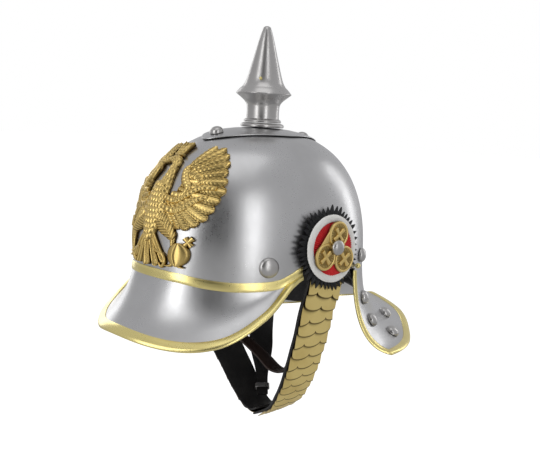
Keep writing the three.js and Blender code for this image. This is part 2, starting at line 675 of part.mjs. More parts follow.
function bandGrid(lift) {
  return visorTurns.map((turn, i) => {
    const middle = skullEdge(turn);
    return [
      skullPoint(turn, middle + BAND_WIDTH / 2, -lift),
      skullPoint(turn, middle + BAND_WIDTH * 0.18, -lift - BAND_CROWN),
      visorWalk(i, BAND_WIDTH * 0.18, lift + BAND_CROWN),
      visorWalk(i, BAND_WIDTH / 2, lift),
    ];
  });
}

const bandSeat = 2 * SEAT_GAP;
addPiece('brow_band', sheet(bandGrid(bandSeat + BRASS_WALL), BRASS_WALL, bandGrid(bandSeat)), brass);

// Brass ball at the front end of the neck trim, over each ear
function ball(radius) {
  return new THREE.SphereGeometry(radius, 8, 5);
}

for (const [side, word] of [[1, 'left'], [-1, 'right']]) {
  const turn = side * THREE.MathUtils.degToRad(EAR_TURN);
  const seat = skullPoint(turn, skullEdge(turn) + EAR_BALL_RADIUS);
  const mesh = addPiece(`ear_ball_${word}`, ball(EAR_BALL_RADIUS), brass);
  mesh.position.copy(seat.addScaledVector(skullNormal(seat), EAR_BALL_RADIUS + SEAT_GAP));
}

// Base plate under the spike: a pointed oval that follows the crown
const PLATE_SIDES = 24;
const PLATE_RINGS = [0.45, 0.68, 0.86, 1];

function plateOutline(angle) {
  const across = Math.abs(Math.sin(angle) / PLATE_HALF_WIDTH) ** PLATE_POINT;
  const along = Math.abs(Math.cos(angle) / PLATE_HALF_LENGTH) ** PLATE_POINT;
  return (across + along) ** (-1 / PLATE_POINT);
}

function plateRing(share, lift) {
  return steps(PLATE_SIDES).slice(0, -1).map((s) => {
    const angle = s * 2 * Math.PI;
    const reach = plateOutline(angle) * share;
    const x = reach * Math.sin(angle);
    const y = -reach * Math.cos(angle);
    const point = new THREE.Vector3(x, y, crownTop(x, y));
    return point.addScaledVector(skullNormal(point), lift);
  });
}

const plateRings = [
  ...PLATE_RINGS.map((share) => plateRing(share, PLATE_GAP)),
  ...PLATE_RINGS.toReversed().map((share) => plateRing(share, PLATE_GAP + PLATE_WALL)),
];
addPiece('base_plate', loft(plateRings), steel);

// Turned pieces: an outline of radius and height, closed on the axis
function turned(outline, sides) {
  const points = outline.map(([radius, height]) => new THREE.Vector2(radius, height));
  const geometry = new THREE.LatheGeometry(points, sides);
  geometry.rotateX(Math.PI / 2);
  return geometry;
}

function dome(radius, height, sides) {
  const outline = [[0, 0], [radius, 0], [radius, height * 0.25], [radius * 0.72, height * 0.78], [0, height]];
  return turned(outline, sides);
}

function stand(mesh, seat, normal, gap) {
  mesh.quaternion.setFromUnitVectors(new THREE.Vector3(0, 0, 1), normal);
  mesh.position.copy(seat).addScaledVector(normal, gap);
}

// Domed studs that hold the base plate, front and back
for (const [side, word] of [[-1, 'front'], [1, 'back']]) {
  const seat = new THREE.Vector3(0, side * STUD_REACH, crownTop(0, side * STUD_REACH));
  const stud = addPiece(`base_stud_${word}`, dome(STUD_RADIUS, STUD_HEIGHT, 10), steel);
  stand(stud, seat, skullNormal(seat), PLATE_GAP + PLATE_WALL + 2 * SEAT_GAP);
}

// Spike: a foot ring on the plate, and the neck, flange and cone in one turned piece
const SPIKE_SIDES = 18;
const plateTop = crownTop(0, 0) + PLATE_GAP + PLATE_WALL;
const footRing = [
  [0, 0], [RING_RADIUS * 0.96, 0], [RING_RADIUS, RING_HEIGHT * 0.25], [RING_RADIUS, RING_HEIGHT * 0.55],
  [RING_RADIUS * 0.94, RING_HEIGHT * 0.8], [RING_RADIUS * 0.86, RING_HEIGHT], [0, RING_HEIGHT],
];
addPiece('spike_ring', turned(footRing, SPIKE_SIDES), steel).position.z = plateTop + SEAT_GAP;

const spikeOutline = SPIKE_OUTLINE.map((row) => [FLANGE_RADIUS * row.out, SPIKE_HEIGHT * row.up]);
const spikeFoot = plateTop + RING_HEIGHT + 2 * SEAT_GAP;
const spike = turned([[0, 0], ...spikeOutline, [0, SPIKE_HEIGHT]], SPIKE_SIDES);
addPiece('spike', spike, steel).position.z = spikeFoot;

// Brass vent pin in the cone, its head out to the front left
function coneRadius(rise) {
  const row = between(SPIKE_OUTLINE, 'up', 'out', rise / SPIKE_HEIGHT);
  return FLANGE_RADIUS * row;
}

const ventTurn = THREE.MathUtils.degToRad(VENT_TURN);
const ventNormal = new THREE.Vector3(Math.sin(ventTurn), -Math.cos(ventTurn), 0);
const ventSeat = ventNormal.clone().multiplyScalar(coneRadius(VENT_RISE)).setZ(spikeFoot + VENT_RISE);
stand(addPiece('vent_pin', dome(VENT_RADIUS, VENT_RADIUS, 8), brass), ventSeat, ventNormal, SEAT_GAP * 2);

// Rivets: large domes over the brow, smaller ones down the guard
for (const [side, word] of [[1, 'left'], [-1, 'right']]) {
  const turn = side * THREE.MathUtils.degToRad(BROW_RIVET_TURN);
  const browSeat = skullPoint(turn, BROW_RIVET_RISE);
  const browRivet = addPiece(`brow_rivet_${word}`, dome(BROW_RIVET_RADIUS, BROW_RIVET_HEIGHT, 10), steel);
  stand(browRivet, browSeat, skullNormal(browSeat), SEAT_GAP);

  const wallTurn = side * THREE.MathUtils.degToRad(WALL_RIVET.turn);
  const wallSeat = skullPoint(wallTurn, WALL_RIVET.rise);
  const wallRivet = addPiece(`guard_rivet_${word}_1`, dome(GUARD_RIVET_RADIUS, GUARD_RIVET_HEIGHT, 8), steel);
  stand(wallRivet, wallSeat, skullNormal(wallSeat), 2 * SEAT_GAP);

  GUARD_RIVETS.forEach(({ station, down }, i) => {
    const along = -side * (1 - station);
    const seat = guardPoint(along, down);
    const beside = guardPoint(along + 0.01, down).sub(seat);
    const below = guardPoint(along, down + 0.02).sub(seat);
    const normal = below.cross(beside).normalize();
    const name = `guard_rivet_${word}_${i + 2}`;
    const rivet = addPiece(name, dome(GUARD_RIVET_RADIUS, GUARD_RIVET_HEIGHT, 8), steel);
    stand(rivet, seat, normal, 3.4 * SEAT_GAP);
  });
}

// Eagle plate: ridged forms laid over the skull's front and joined into one casting
const BROAD_SECTION = [[-1, 0], [0, 0], [1, 0], [0.8, 0.7], [0, 1], [-0.8, 0.7]];
const NARROW_SECTION = [[-1, 0], [1, 0], [0.6, 0.8], [-0.6, 0.8]];
const FEATHER_SECTION = [[-1, 0], [1, 0], [0, 1]];

function ridge(start, middle, end, halves, lift, low, count, section) {
  const path = new THREE.QuadraticBezierCurve(start, middle, end);
  return loft(steps(count).map((s) => {
    const centre = path.getPoint(s);
    const along = path.getTangent(s);
    const side = new THREE.Vector2(-along.y, along.x);
    const half = between(halves, 'at', 'half', s);
    return section.map(([across, up]) => overFront(
      centre.x + side.x * half * across,
      centre.y + side.y * half * across,
      EAGLE_GAP + low + (lift - low) * up,
    ));
  }));
}

const eaglePoint = (out, up) => new THREE.Vector2(out * EAGLE_HALF_SPAN, EAGLE_FOOT + up * EAGLE_HEIGHT);
function halvesOf(list) {
  return list.map((half, i) => ({ at: i / (list.length - 1), half: half * EAGLE_HALF_SPAN }));
}


const BROAD_HALF = 0.08;
const eagleForms = [];
EAGLE_FORMS.forEach((form, i) => {
  for (const side of form.sides) {
    const [start, through, end] = [form.a, form.b, form.c].map(([out, up]) => eaglePoint(side * out, up));
    const middle = through.multiplyScalar(2).addScaledVector(start, -0.5).addScaledVector(end, -0.5);
    const broad = Math.max(...form.halves) > BROAD_HALF;
    const section = broad ? BROAD_SECTION : NARROW_SECTION;
    const halves = halvesOf(form.halves);
    eagleForms.push(ridge(start, middle, end, halves, form.lift, 0.02 * i, broad ? 4 : 3, section));
  }
});
WING_FEATHERS.forEach((feather, i) => {
  for (const side of [1, -1]) {
    const start = eaglePoint(side * feather.rootOut, feather.rootUp);
    const end = eaglePoint(side * feather.tipOut, feather.tipUp);
    const middle = start.clone().add(end).multiplyScalar(0.5);
    const halves = halvesOf([feather.half * 0.6, feather.half * 0.9, feather.half, feather.half * 0.5]);
    const lift = FEATHER_LIFT + FEATHER_STAGGER * (i % 2);
    eagleForms.push(ridge(start, middle, end, halves, lift, 0.01 * i, 2, FEATHER_SECTION));
  }
});
addPiece('eagle_plate', joined(eagleForms), brass);

// Cockades: a pleated black rosette, a white ring, a red field and a gilt boss with its knob, on each side
const ROSETTE_SIDES = ROSETTE_PLEATS * 2;
const ROSETTE_LIFT = SCALE_STEP + BACKING_WALL + 8 * SEAT_GAP;

function cockadeRing(side, radiusAt, lift, sides) {
  return steps(sides).slice(0, -1).map((s, i) => {
    const angle = s * 2 * Math.PI;
    const radius = radiusAt(i);
    return overSide(side, radius * Math.sin(angle), COCKADE_RISE + radius * Math.cos(angle), lift);
  });
}

function clothRing(side, innerAt, outerAt, lift, wall, sides) {
  const radii = [innerAt, outerAt];
  return loft([
    ...radii.map((at) => cockadeRing(side, at, lift, sides)),
    ...radii.toReversed().map((at) => cockadeRing(side, at, lift + wall, sides)),
  ], true);
}

function trefoil() {
  const leaves = [0, 1, 2].map((i) => {
    const turn = i * 2 * Math.PI / 3 + THREE.MathUtils.degToRad(TREFOIL_TURN);
    const centre = new THREE.Vector2(Math.sin(turn), Math.cos(turn)).multiplyScalar(TREFOIL_REACH);
    const rim = turned([
      [0, 0], [LEAF_RADIUS, 0], [LEAF_RADIUS, LEAF_WALL + LEAF_RELIEF],
      [LEAF_RADIUS * 0.82, LEAF_WALL + LEAF_RELIEF],
      [LEAF_RADIUS * 0.78, LEAF_WALL], [0, LEAF_WALL],
    ], 8);
    const bars = [1, -1].map((lean) => {
      const bar = new THREE.BoxGeometry(LEAF_RADIUS * 1.1, LEAF_RADIUS * 0.24, LEAF_WALL + LEAF_RELIEF);
      bar.rotateZ(lean * Math.PI / 4);
      bar.translate(0, 0, (LEAF_WALL + LEAF_RELIEF) / 2);
      return bar;
    });
    return [rim, ...bars].map((geometry) => geometry.translate(centre.x, centre.y, 0));
  });
  const webWall = LEAF_WALL * 0.8;
  const web = turned([[0, 0], [TREFOIL_REACH, 0], [TREFOIL_REACH * 0.9, webWall], [0, webWall]], 9);
  return joined([web, ...leaves.flat()]);
}

for (const [side, word] of [[1, 'left'], [-1, 'right']]) {
  const pleat = (i) => ROSETTE_RADIUS * (i % 2 ? 0.9 : 1);
  const hollow = () => WHITE_RADIUS - WHITE_WIDTH * 1.6;
  const rosette = clothRing(side, hollow, pleat, ROSETTE_LIFT, ROSETTE_WALL, ROSETTE_SIDES);
  addPiece(`rosette_${word}`, rosette, blackCloth);

  const whiteLift = ROSETTE_LIFT + ROSETTE_WALL + SEAT_GAP;
  const braidInside = () => WHITE_RADIUS - WHITE_WIDTH;
  const white = clothRing(side, braidInside, () => WHITE_RADIUS, whiteLift, CLOTH_WALL, 20);
  addPiece(`white_ring_${word}`, white, whiteCloth);

  const fieldRadius = WHITE_RADIUS - WHITE_WIDTH - SEAT_GAP;
  const field = loft([
    cockadeRing(side, () => fieldRadius * 0.5, whiteLift, 16),
    cockadeRing(side, () => fieldRadius, whiteLift, 16),
    cockadeRing(side, () => fieldRadius, whiteLift + CLOTH_WALL, 16),
    cockadeRing(side, () => fieldRadius * 0.5, whiteLift + CLOTH_WALL, 16),
  ]);
  addPiece(`red_field_${word}`, field, redCloth);

  const bossLift = SKULL_HALF_WIDTH + whiteLift + CLOTH_WALL + SEAT_GAP;
  const boss = addPiece(`trefoil_${word}`, trefoil(), gilt);
  boss.position.set(side * bossLift, 0, COCKADE_RISE);
  const facing = new THREE.Matrix4().makeBasis(
    new THREE.Vector3(0, side, 0),
    new THREE.Vector3(0, 0, 1),
    new THREE.Vector3(side, 0, 0),
  );
  boss.quaternion.setFromRotationMatrix(facing);
  const knob = addPiece(`boss_knob_${word}`, dome(KNOB_RADIUS, KNOB_HEIGHT, 10), steel);
  const knobSeat = new THREE.Vector3(side * (bossLift + LEAF_WALL + LEAF_RELIEF), 0, COCKADE_RISE);
  stand(knob, knobSeat, new THREE.Vector3(side, 0, 0), SEAT_GAP);
}

// Straps: a flat section carried along a route, its face turned away from the head and bowed across
function strapFrames(route, count) {
  const places = route.map(([side, back, rise]) => {
    const reach = back < 0 ? SKULL_FRONT_REACH : SKULL_REAR_REACH;
    return new THREE.Vector3(side * SKULL_HALF_WIDTH, back * reach, rise * STRAP_DROP);
  });
  const path = new THREE.CatmullRomCurve3(places, false, 'centripetal');
  return steps(count).map((s) => {
    const centre = path.getPointAt(s);
    const along = path.getTangentAt(s);
    const reach = centre.y < 0 ? SKULL_FRONT_REACH : SKULL_REAR_REACH;
    const outward = new THREE.Vector3(
      centre.x / SKULL_HALF_WIDTH ** 2,
      centre.y / reach ** 2,
      (centre.z + STRAP_HUB_DROP) / STRAP_HANG ** 2,
    );
    outward.addScaledVector(along, -outward.dot(along)).normalize();
    return { s, centre, along, outward, across: along.clone().cross(outward) };
  });
}

function strapGrid(frames, offsets, widthAt, liftAt) {
  return frames.map(({ s, centre, outward, across }) => offsets.map((share) => {
    const reach = share * widthAt(s);
    const lift = liftAt(s) - STRAP_BOW * reach * reach;
    return centre.clone().addScaledVector(across, reach).addScaledVector(outward, lift);
  }));
}

function strap(route, count, offsets, widthAt, wall) {
  const frames = strapFrames(route, count);
  const face = strapGrid(frames, offsets, widthAt, () => 0);
  const back = strapGrid(frames, offsets, widthAt, () => -wall);
  return sheet(face, wall, back);
}

const scaleTaper = (s) => 1 - TAPER_LOSS * Math.max(s - TAPER_START, 0) / (1 - TAPER_START);
const chinRoutes = [['left', SCALE_ROUTE_LEFT], ['right', SCALE_ROUTE_RIGHT]];

for (const [word, route] of chinRoutes) {
  const backingWidth = (s) => BACKING_WIDTH * scaleTaper(s);
  const backing = strap(route, 24, [-0.5, 0, 0.5], backingWidth, BACKING_WALL);
  addPiece(`scale_backing_${word}`, backing, blackLeather);

  const seat = SEAT_GAP * 1.5;
  const lameFrames = strapFrames(route, SCALE_ROWS * 2);
  const lameAcross = [-0.5, -0.2, 0.2, 0.5];
  const lameWidth = (s) => SCALE_WIDTH * scaleTaper(s);
  const lameTop = (s) => seat + SCALE_STEP * (Math.round(s * SCALE_ROWS * 2) % 2 ? 1 : LAME_LOW);
  const top = strapGrid(lameFrames, lameAcross, lameWidth, lameTop);
  const low = strapGrid(lameFrames, lameAcross, lameWidth, () => seat);
  addPiece(`chin_scales_${word}`, sheet(top, 0, low), gilt);
}

// Plain chin strap, from inside the right temple under the chin and up inside the left ear
const plainAcross = [-0.5, 0, 0.5];
const chinStrap = strap(CHIN_STRAP_ROUTE, 32, plainAcross, () => CHIN_STRAP_WIDTH, CHIN_STRAP_WALL);
addPiece('chin_strap', chinStrap, brownLeather);

// Nape strap, from inside the guard down to a tongue, with a metal keeper round the tongue
const TONGUE_WIDTH = KEEPER_WIDTH - 2 * KEEPER_WALL - 2 * SEAT_GAP;
function napeWidth(s) {
  const narrowed = THREE.MathUtils.smoothstep(s, TONGUE_START, TONGUE_FULL);
  return THREE.MathUtils.lerp(NAPE_STRAP_WIDTH, TONGUE_WIDTH, narrowed);
}

addPiece('nape_strap', strap(NAPE_STRAP_ROUTE, 20, plainAcross, napeWidth, NAPE_STRAP_WALL), blackLeather);

const keeperFrame = strapFrames(NAPE_STRAP_ROUTE, 100)[Math.round(KEEPER_STATION * 100)];
const keeperCorners = [[-1, -1], [1, -1], [1, 1], [-1, 1]];
const keeperRing = (halfWidth, halfHeight, travel) => keeperCorners.map(([wide, high]) => (
  keeperFrame.centre.clone()
    .addScaledVector(keeperFrame.across, wide * halfWidth)
    .addScaledVector(keeperFrame.outward, high * halfHeight - NAPE_STRAP_WALL / 2)
    .addScaledVector(keeperFrame.along, travel)
));
const keeperHalfWidth = KEEPER_WIDTH / 2;
const keeperHalfHeight = NAPE_STRAP_WALL / 2 + 2 * SEAT_GAP + KEEPER_WALL;
addPiece('strap_keeper', loft([
  keeperRing(keeperHalfWidth, keeperHalfHeight, -KEEPER_DEPTH / 2),
  keeperRing(keeperHalfWidth, keeperHalfHeight, KEEPER_DEPTH / 2),
  keeperRing(keeperHalfWidth - KEEPER_WALL, keeperHalfHeight - KEEPER_WALL, KEEPER_DEPTH / 2),
  keeperRing(keeperHalfWidth - KEEPER_WALL, keeperHalfHeight - KEEPER_WALL, -KEEPER_DEPTH / 2),
], true), steel);

// Leather lining band inside the skull, reaching down behind the guard's wall
const LINING_SIDES = 36;
const liningInset = LAP_INSET + STEEL_WALL + SEAT_GAP;
const liningRing = (turn) => {
  const degrees = Math.abs(THREE.MathUtils.radToDeg(turn));
  const low = LINING_DROP * between(LINING_EDGE, 'turn', 'rise', degrees);
  const levels = [0, 0.35, 0.7, 1].map((share) => THREE.MathUtils.lerp(LINING_TOP, low, share));
  return [
    ...levels.map((z) => skullPoint(turn, z, liningInset)),
    ...levels.toReversed().map((z) => skullPoint(turn, z, liningInset + LINING_WALL)),
  ];
};
const liningTurns = steps(LINING_SIDES).slice(0, -1).map((s) => (s * 2 - 1) * Math.PI);
addPiece('lining', loft(liningTurns.map(liningRing), true), brownLeather);

export default helmet;
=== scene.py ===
import math
import bpy
import bmesh
import numpy as np
from mathutils import Matrix


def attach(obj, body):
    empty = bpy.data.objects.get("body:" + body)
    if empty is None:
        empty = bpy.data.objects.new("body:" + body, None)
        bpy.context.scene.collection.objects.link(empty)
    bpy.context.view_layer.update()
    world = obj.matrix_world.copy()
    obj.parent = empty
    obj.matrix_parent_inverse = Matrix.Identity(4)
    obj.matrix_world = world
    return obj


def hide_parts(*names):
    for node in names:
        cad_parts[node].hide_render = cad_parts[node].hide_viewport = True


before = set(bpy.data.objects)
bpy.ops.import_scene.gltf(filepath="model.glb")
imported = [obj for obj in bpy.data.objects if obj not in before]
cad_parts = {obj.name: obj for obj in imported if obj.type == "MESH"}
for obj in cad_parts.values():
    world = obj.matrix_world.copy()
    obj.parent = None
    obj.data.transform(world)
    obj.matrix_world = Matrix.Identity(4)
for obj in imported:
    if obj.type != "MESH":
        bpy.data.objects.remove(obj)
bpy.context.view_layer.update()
MM = 0.001

# Camera: at the wearer's left front and a little above the brow, as the photograph was taken.
# The three rows are the picture's right, its up and the way it looks.
camera_data = bpy.data.cameras.new("camera")
camera_data.lens = 53.78
camera_data.clip_start = 0.01
camera = bpy.data.objects.new("camera", camera_data)
picture_right = (0.6752, 0.7356, 0.0545)
picture_up = (-0.1416, 0.0567, 0.9883)
looking = (-0.7239, 0.6750, -0.1424)
camera_place = (0.5832, -0.5254, 0.1347)
camera.matrix_world = Matrix([
    [picture_right[i], picture_up[i], -looking[i], camera_place[i]] for i in range(3)
] + [[0, 0, 0, 1]])
bpy.context.collection.objects.link(camera)
bpy.context.scene.camera = camera
bpy.context.scene.view_settings.view_transform = "Standard"

# Floor and light: a wide pale floor under the hanging straps, large soft boxes either side of the camera,
# one over the crown, and a white room whose dark gap lies behind the camera.
floor_mesh = bpy.data.meshes.new("floor")
floor_reach = 12.0
floor_height = -0.30
floor_mesh.from_pydata([
    (x * floor_reach, y * floor_reach, floor_height) for x, y in ((-1, -1), (1, -1), (1, 1), (-1, 1))
], [], [(0, 1, 2, 3)])
floor = bpy.data.objects.new("floor", floor_mesh)
floor_paint = bpy.data.materials.new("floor_paint")
floor_paint.use_nodes = True
floor_shader = floor_paint.node_tree.nodes["Principled BSDF"]
floor_shader.inputs["Base Color"].default_value = (0.3, 0.3, 0.3, 1)
floor_shader.inputs["Roughness"].default_value = 0.95
floor_shader.inputs["Emission Color"].default_value = (1, 1, 1, 1)
floor_seen = floor_paint.node_tree.nodes.new("ShaderNodeLightPath")
floor_glow = floor_paint.node_tree.nodes.new("ShaderNodeMapRange")
floor_glow.inputs["To Min"].default_value = 0.25
floor_glow.inputs["To Max"].default_value = 0.95
floor_paint.node_tree.links.new(floor_seen.outputs["Is Camera Ray"], floor_glow.inputs["Value"])
floor_paint.node_tree.links.new(floor_glow.outputs["Result"], floor_shader.inputs["Emission Strength"])
floor_mesh.materials.append(floor_paint)
bpy.context.collection.objects.link(floor)
lamp_aim = np.array((0, 0, 0.03))


def soft_box(name, turn, distance, height, width, tall, power):
    """A soft box at a turn from the helmet's front, facing the helmet."""
    lamp = bpy.data.lights.new(name, "AREA")
    lamp.shape = "RECTANGLE"
    lamp.size = width
    lamp.size_y = tall
    lamp.energy = power
    box = bpy.data.objects.new(name, lamp)
    angle = math.radians(turn)
    box.location = (distance * math.sin(angle), -distance * math.cos(angle), height)
    away = np.array(box.location) - lamp_aim
    box.rotation_euler = (math.atan2(math.hypot(away[0], away[1]), away[2]), 0, math.atan2(away[0], -away[1]))
    bpy.context.collection.objects.link(box)


soft_box("left_box", 3, 1.5, 0.35, 0.5, 1.6, 5.6)
soft_box("right_box", 71, 1.5, 0.35, 0.3, 1.6, 3.6)
soft_box("rear_box", 172, 1.5, 0.4, 0.3, 1.2, 2.0)
soft_box("far_box", -100, 1.6, 0.3, 0.5, 1.2, 2.5)
soft_box("top_box", 40, 0.35, 1.5, 1.0, 1.0, 2.0)

room = bpy.data.worlds.new("room")
bpy.context.scene.world = room
room.use_nodes = True
room_nodes = room.node_tree.nodes
room_links = room.node_tree.links
backdrop = room_nodes["Background"]
facing = room_nodes.new("ShaderNodeTexCoord")
gap = room_nodes.new("ShaderNodeVectorMath")
gap.operation = "DOT_PRODUCT"
gap.inputs[1].default_value = (0.60, -0.80, 0.0)
flattened = room_nodes.new("ShaderNodeVectorMath")
flattened.operation = "MULTIPLY"
flattened.inputs[1].default_value = (1, 1, 0.35)
evened = room_nodes.new("ShaderNodeVectorMath")
evened.operation = "NORMALIZE"
room_links.new(facing.outputs["Generated"], flattened.inputs[0])
room_links.new(flattened.outputs["Vector"], evened.inputs[0])
room_links.new(evened.outputs["Vector"], gap.inputs[0])
shade = room_nodes.new("ShaderNodeValToRGB")
shade.color_ramp.elements[0].position = 0.0
shade.color_ramp.elements[0].color = (0.52, 0.52, 0.53, 1)
shade.color_ramp.elements[1].position = 0.965
shade.color_ramp.elements[1].color = (0.03, 0.03, 0.03, 1)
middle_shade = shade.color_ramp.elements.new(0.90)
middle_shade.color = (0.46, 0.46, 0.47, 1)
room_links.new(gap.outputs["Value"], shade.inputs["Fac"])
seen = room_nodes.new("ShaderNodeLightPath")
choice = room_nodes.new("ShaderNodeMix")
choice.data_type = "RGBA"
choice.inputs["B"].default_value = (1, 1, 1, 1)
room_links.new(seen.outputs["Is Camera Ray"], choice.inputs["Factor"])
room_links.new(shade.outputs["Color"], choice.inputs["A"])
room_links.new(choice.outputs["Result"], backdrop.inputs["Color"])

# Skull and neck guard: sheet steel raised and riveted into one smooth form, satin polished.
# The skull is an oval dome, and the guard leaves its rear edge in a straight wall and then flares out.
SKULL_HALF_WIDTH = 98.0
SKULL_FRONT_REACH = 126.0
SKULL_REAR_REACH = 114.0
CROWN_HEIGHT = 126.8
CROWN_START = -2.2
CROWN_ROUNDNESS = 2.53
STEEL_WALL = 1.4
EAR_DEGREES = 117.7
BROW_DEGREES = 72.7


def curve_through(stations, values):
    """A smooth curve through the values at the stations, level at both ends."""
    last = len(stations) - 1

    def slope(i):
        if i in (0, last):
            return 0.0
        return (values[i + 1] - values[i - 1]) / (stations[i + 1] - stations[i - 1])

    def read(value):
        row = 0
        while row < last - 1 and value > stations[row + 1]:
            row += 1
        span = stations[row + 1] - stations[row]
        t = min(max((value - stations[row]) / span, 0.0), 1.0)
        return (values[row] * (2 * t**3 - 3 * t**2 + 1) + slope(row) * span * (t**3 - 2 * t**2 + t)
                + values[row + 1] * (3 * t**2 - 2 * t**3) + slope(row + 1) * span * (t**3 - t**2))

    return read


skull_edge_curve = curve_through(
    [0, 15, 27, 38, 50, 60, 67, BROW_DEGREES, 85, 100, 110, EAR_DEGREES, 180],
    [-2.296, -3.608, -6.56, -8.2, -7.79, -5.74, -0.328, 5.576, 9.84, 7.38, 3.28, 0, 0])


def skull_edge(turn):
    return skull_edge_curve(abs(math.degrees(turn)))


def crown_share(z, inset=0.0):
    rise = np.clip((z - CROWN_START) / (CROWN_HEIGHT - inset), 0.0, 1.0)
    return (1 - rise**CROWN_ROUNDNESS) ** (1 / CROWN_ROUNDNESS)


def skull_point(turn, z, inset=0.0):
    """A point of the skull in millimetres at a turn from the front towards the wearer's left."""
    reach = SKULL_FRONT_REACH if math.cos(turn) > 0 else SKULL_REAR_REACH
    plan = 1 / math.hypot(math.sin(turn) / (SKULL_HALF_WIDTH - inset), math.cos(turn) / (reach - inset))
    radius = plan * crown_share(z, inset)
    return np.array((radius * math.sin(turn), -radius * math.cos(turn), z))


def skull_normal(points):
    points = np.asarray(points, dtype=float)
    reach = np.where(points[..., 1] < 0, SKULL_FRONT_REACH, SKULL_REAR_REACH)
    share = np.maximum(np.hypot(points[..., 0] / SKULL_HALF_WIDTH, points[..., 1] / reach), 1e-4)
    rise = np.maximum((points[..., 2] - CROWN_START) / CROWN_HEIGHT, 0.0)
    outward = share ** (CROWN_ROUNDNESS - 2)
    normals = np.stack([outward * points[..., 0] / SKULL_HALF_WIDTH**2, outward * points[..., 1] / reach**2,
                        rise ** (CROWN_ROUNDNESS - 1) / CROWN_HEIGHT], axis=-1)
    return normals / np.linalg.norm(normals, axis=-1, keepdims=True)


def grid_normals(grid):
    """Unit normals of a grid of points, along its rows crossed with down its columns."""
    normals = np.cross(np.gradient(grid, axis=0), np.gradient(grid, axis=1))
    return normals / np.maximum(np.linalg.norm(normals, axis=2, keepdims=True), 1e-9)


def grid_faces(rows, columns, start=0, closed_rows=False, closed_columns=False):
    faces = []
    for i in range(rows if closed_rows else rows - 1):
        for j in range(columns if closed_columns else columns - 1):
            here = start + i * columns
            after = start + (i + 1) % rows * columns
            k = (j + 1) % columns
            faces.append((here + j, after + j, after + k, here + k))
    return faces


MERGE_DISTANCE = 0.004
SLIVER_LENGTH = 0.002


def mesh_piece(name, points, faces, material, smooth_angle=38, painted_light_share=None):
    """One mesh object from points in millimetres, smooth but for its real edges."""
    mesh = bpy.data.meshes.new(name)
    mesh.from_pydata((np.asarray(points) * MM).tolist(), [], faces)
    # The optional point attribute carries painted shade: 1 leaves the material's colour, lower values darken
    # it.
    if painted_light_share is not None:
        values = np.asarray(painted_light_share, dtype=np.float32).ravel()
        mesh.attributes.new("painted_light_share", "FLOAT", "POINT").data.foreach_set("value", values)
    work = bmesh.new()
    work.from_mesh(mesh)
    bmesh.ops.remove_doubles(work, verts=work.verts, dist=MERGE_DISTANCE * MM)
    bmesh.ops.dissolve_degenerate(work, edges=work.edges, dist=SLIVER_LENGTH * MM)
    bmesh.ops.recalc_face_normals(work, faces=work.faces)
    work.to_mesh(mesh)
    work.free()
    mesh.shade_smooth()
    mesh.set_sharp_from_angle(angle=math.radians(smooth_angle))
    mesh.materials.append(material)
    piece = bpy.data.objects.new(name, mesh)
    bpy.context.collection.objects.link(piece)
    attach(piece, "root")
    return piece


def two_sided(outer, inner, closed_rows=False, sides="ends top foot"):
    """Points and faces of a sheet between an outer and an inner grid, closed along the named sides."""
    rows, columns = outer.shape[:2]
    points = np.concatenate([outer.reshape(-1, 3), inner.reshape(-1, 3)])
    size = rows * columns
    faces = grid_faces(rows, columns, 0, closed_rows) + grid_faces(rows, columns, size, closed_rows)
    strips = []
    if "top" in sides:
        strips.append([i * columns for i in range(rows)])
    if "foot" in sides:
        strips.append([i * columns + columns - 1 for i in range(rows)])
    for strip in strips:
        if closed_rows:
            strip.append(strip[0])
        faces += [(a, b, b + size, a + size) for a, b in zip(strip, strip[1:])]
    if "ends" in sides and not closed_rows:
        for row in (0, (rows - 1) * columns):
            faces += [(row + j, row + j + 1, row + j + 1 + size, row + j + size) for j in range(columns - 1)]
    return points, faces


def finish_group(name, inputs):
    """A node group for one effect: the given inputs, and a colour, a roughness and a height out of it."""
    group = bpy.data.node_groups.new(name, "ShaderNodeTree")
    for label, kind, value in inputs:
        group.interface.new_socket(label, in_out="INPUT", socket_type=kind).default_value = value
    group.interface.new_socket("Color", in_out="OUTPUT", socket_type="NodeSocketColor")
    group.interface.new_socket("Roughness", in_out="OUTPUT", socket_type="NodeSocketFloat")
    group.interface.new_socket("Height", in_out="OUTPUT", socket_type="NodeSocketFloat")
    return group, group.nodes.new("NodeGroupInput"), group.nodes.new("NodeGroupOutput")


def noise(group, place, scale, detail=2.0, stretch=None):
    """A noise on the piece's own coordinates, stretched along an axis where asked."""
    node = group.nodes.new("ShaderNodeTexNoise")
    node.inputs["Scale"].default_value = scale
    node.inputs["Detail"].default_value = detail
    vector = place.outputs["Object"]
    if stretch:
        stretched = group.nodes.new("ShaderNodeMapping")
        stretched.inputs["Scale"].default_value = stretch
        group.links.new(vector, stretched.inputs["Vector"])
        vector = stretched.outputs["Vector"]
    group.links.new(vector, node.inputs["Vector"])
    return node.outputs["Fac"]


def sum_of(group, value, factor, more):
    """value times factor plus more, each a socket or a number."""
    node = group.nodes.new("ShaderNodeMath")
    node.operation = "MULTIPLY_ADD"
    for socket, given in zip(node.inputs, (value, factor, more)):
        if isinstance(given, (int, float)):
            socket.default_value = given
        else:
            group.links.new(given, socket)
    return node.outputs["Value"]


def spread(group, value, low, high):
    """0 to 1 as a value goes from low to high."""
    node = group.nodes.new("ShaderNodeMapRange")
    node.inputs["From Min"].default_value = low
    node.inputs["From Max"].default_value = high
    group.links.new(value, node.inputs["Value"])
    return node.outputs["Result"]


def blend(group, amount, first, second):
    """A colour that goes from the first to the second by an amount."""
    node = group.nodes.new("ShaderNodeMix")
    node.data_type = "RGBA"
    group.links.new(amount, node.inputs[0])
    for socket, given in ((node.inputs[6], first), (node.inputs[7], second)):
        if isinstance(given, tuple):
            socket.default_value = given
        else:
            group.links.new(given, socket)
    return node.outputs[2]


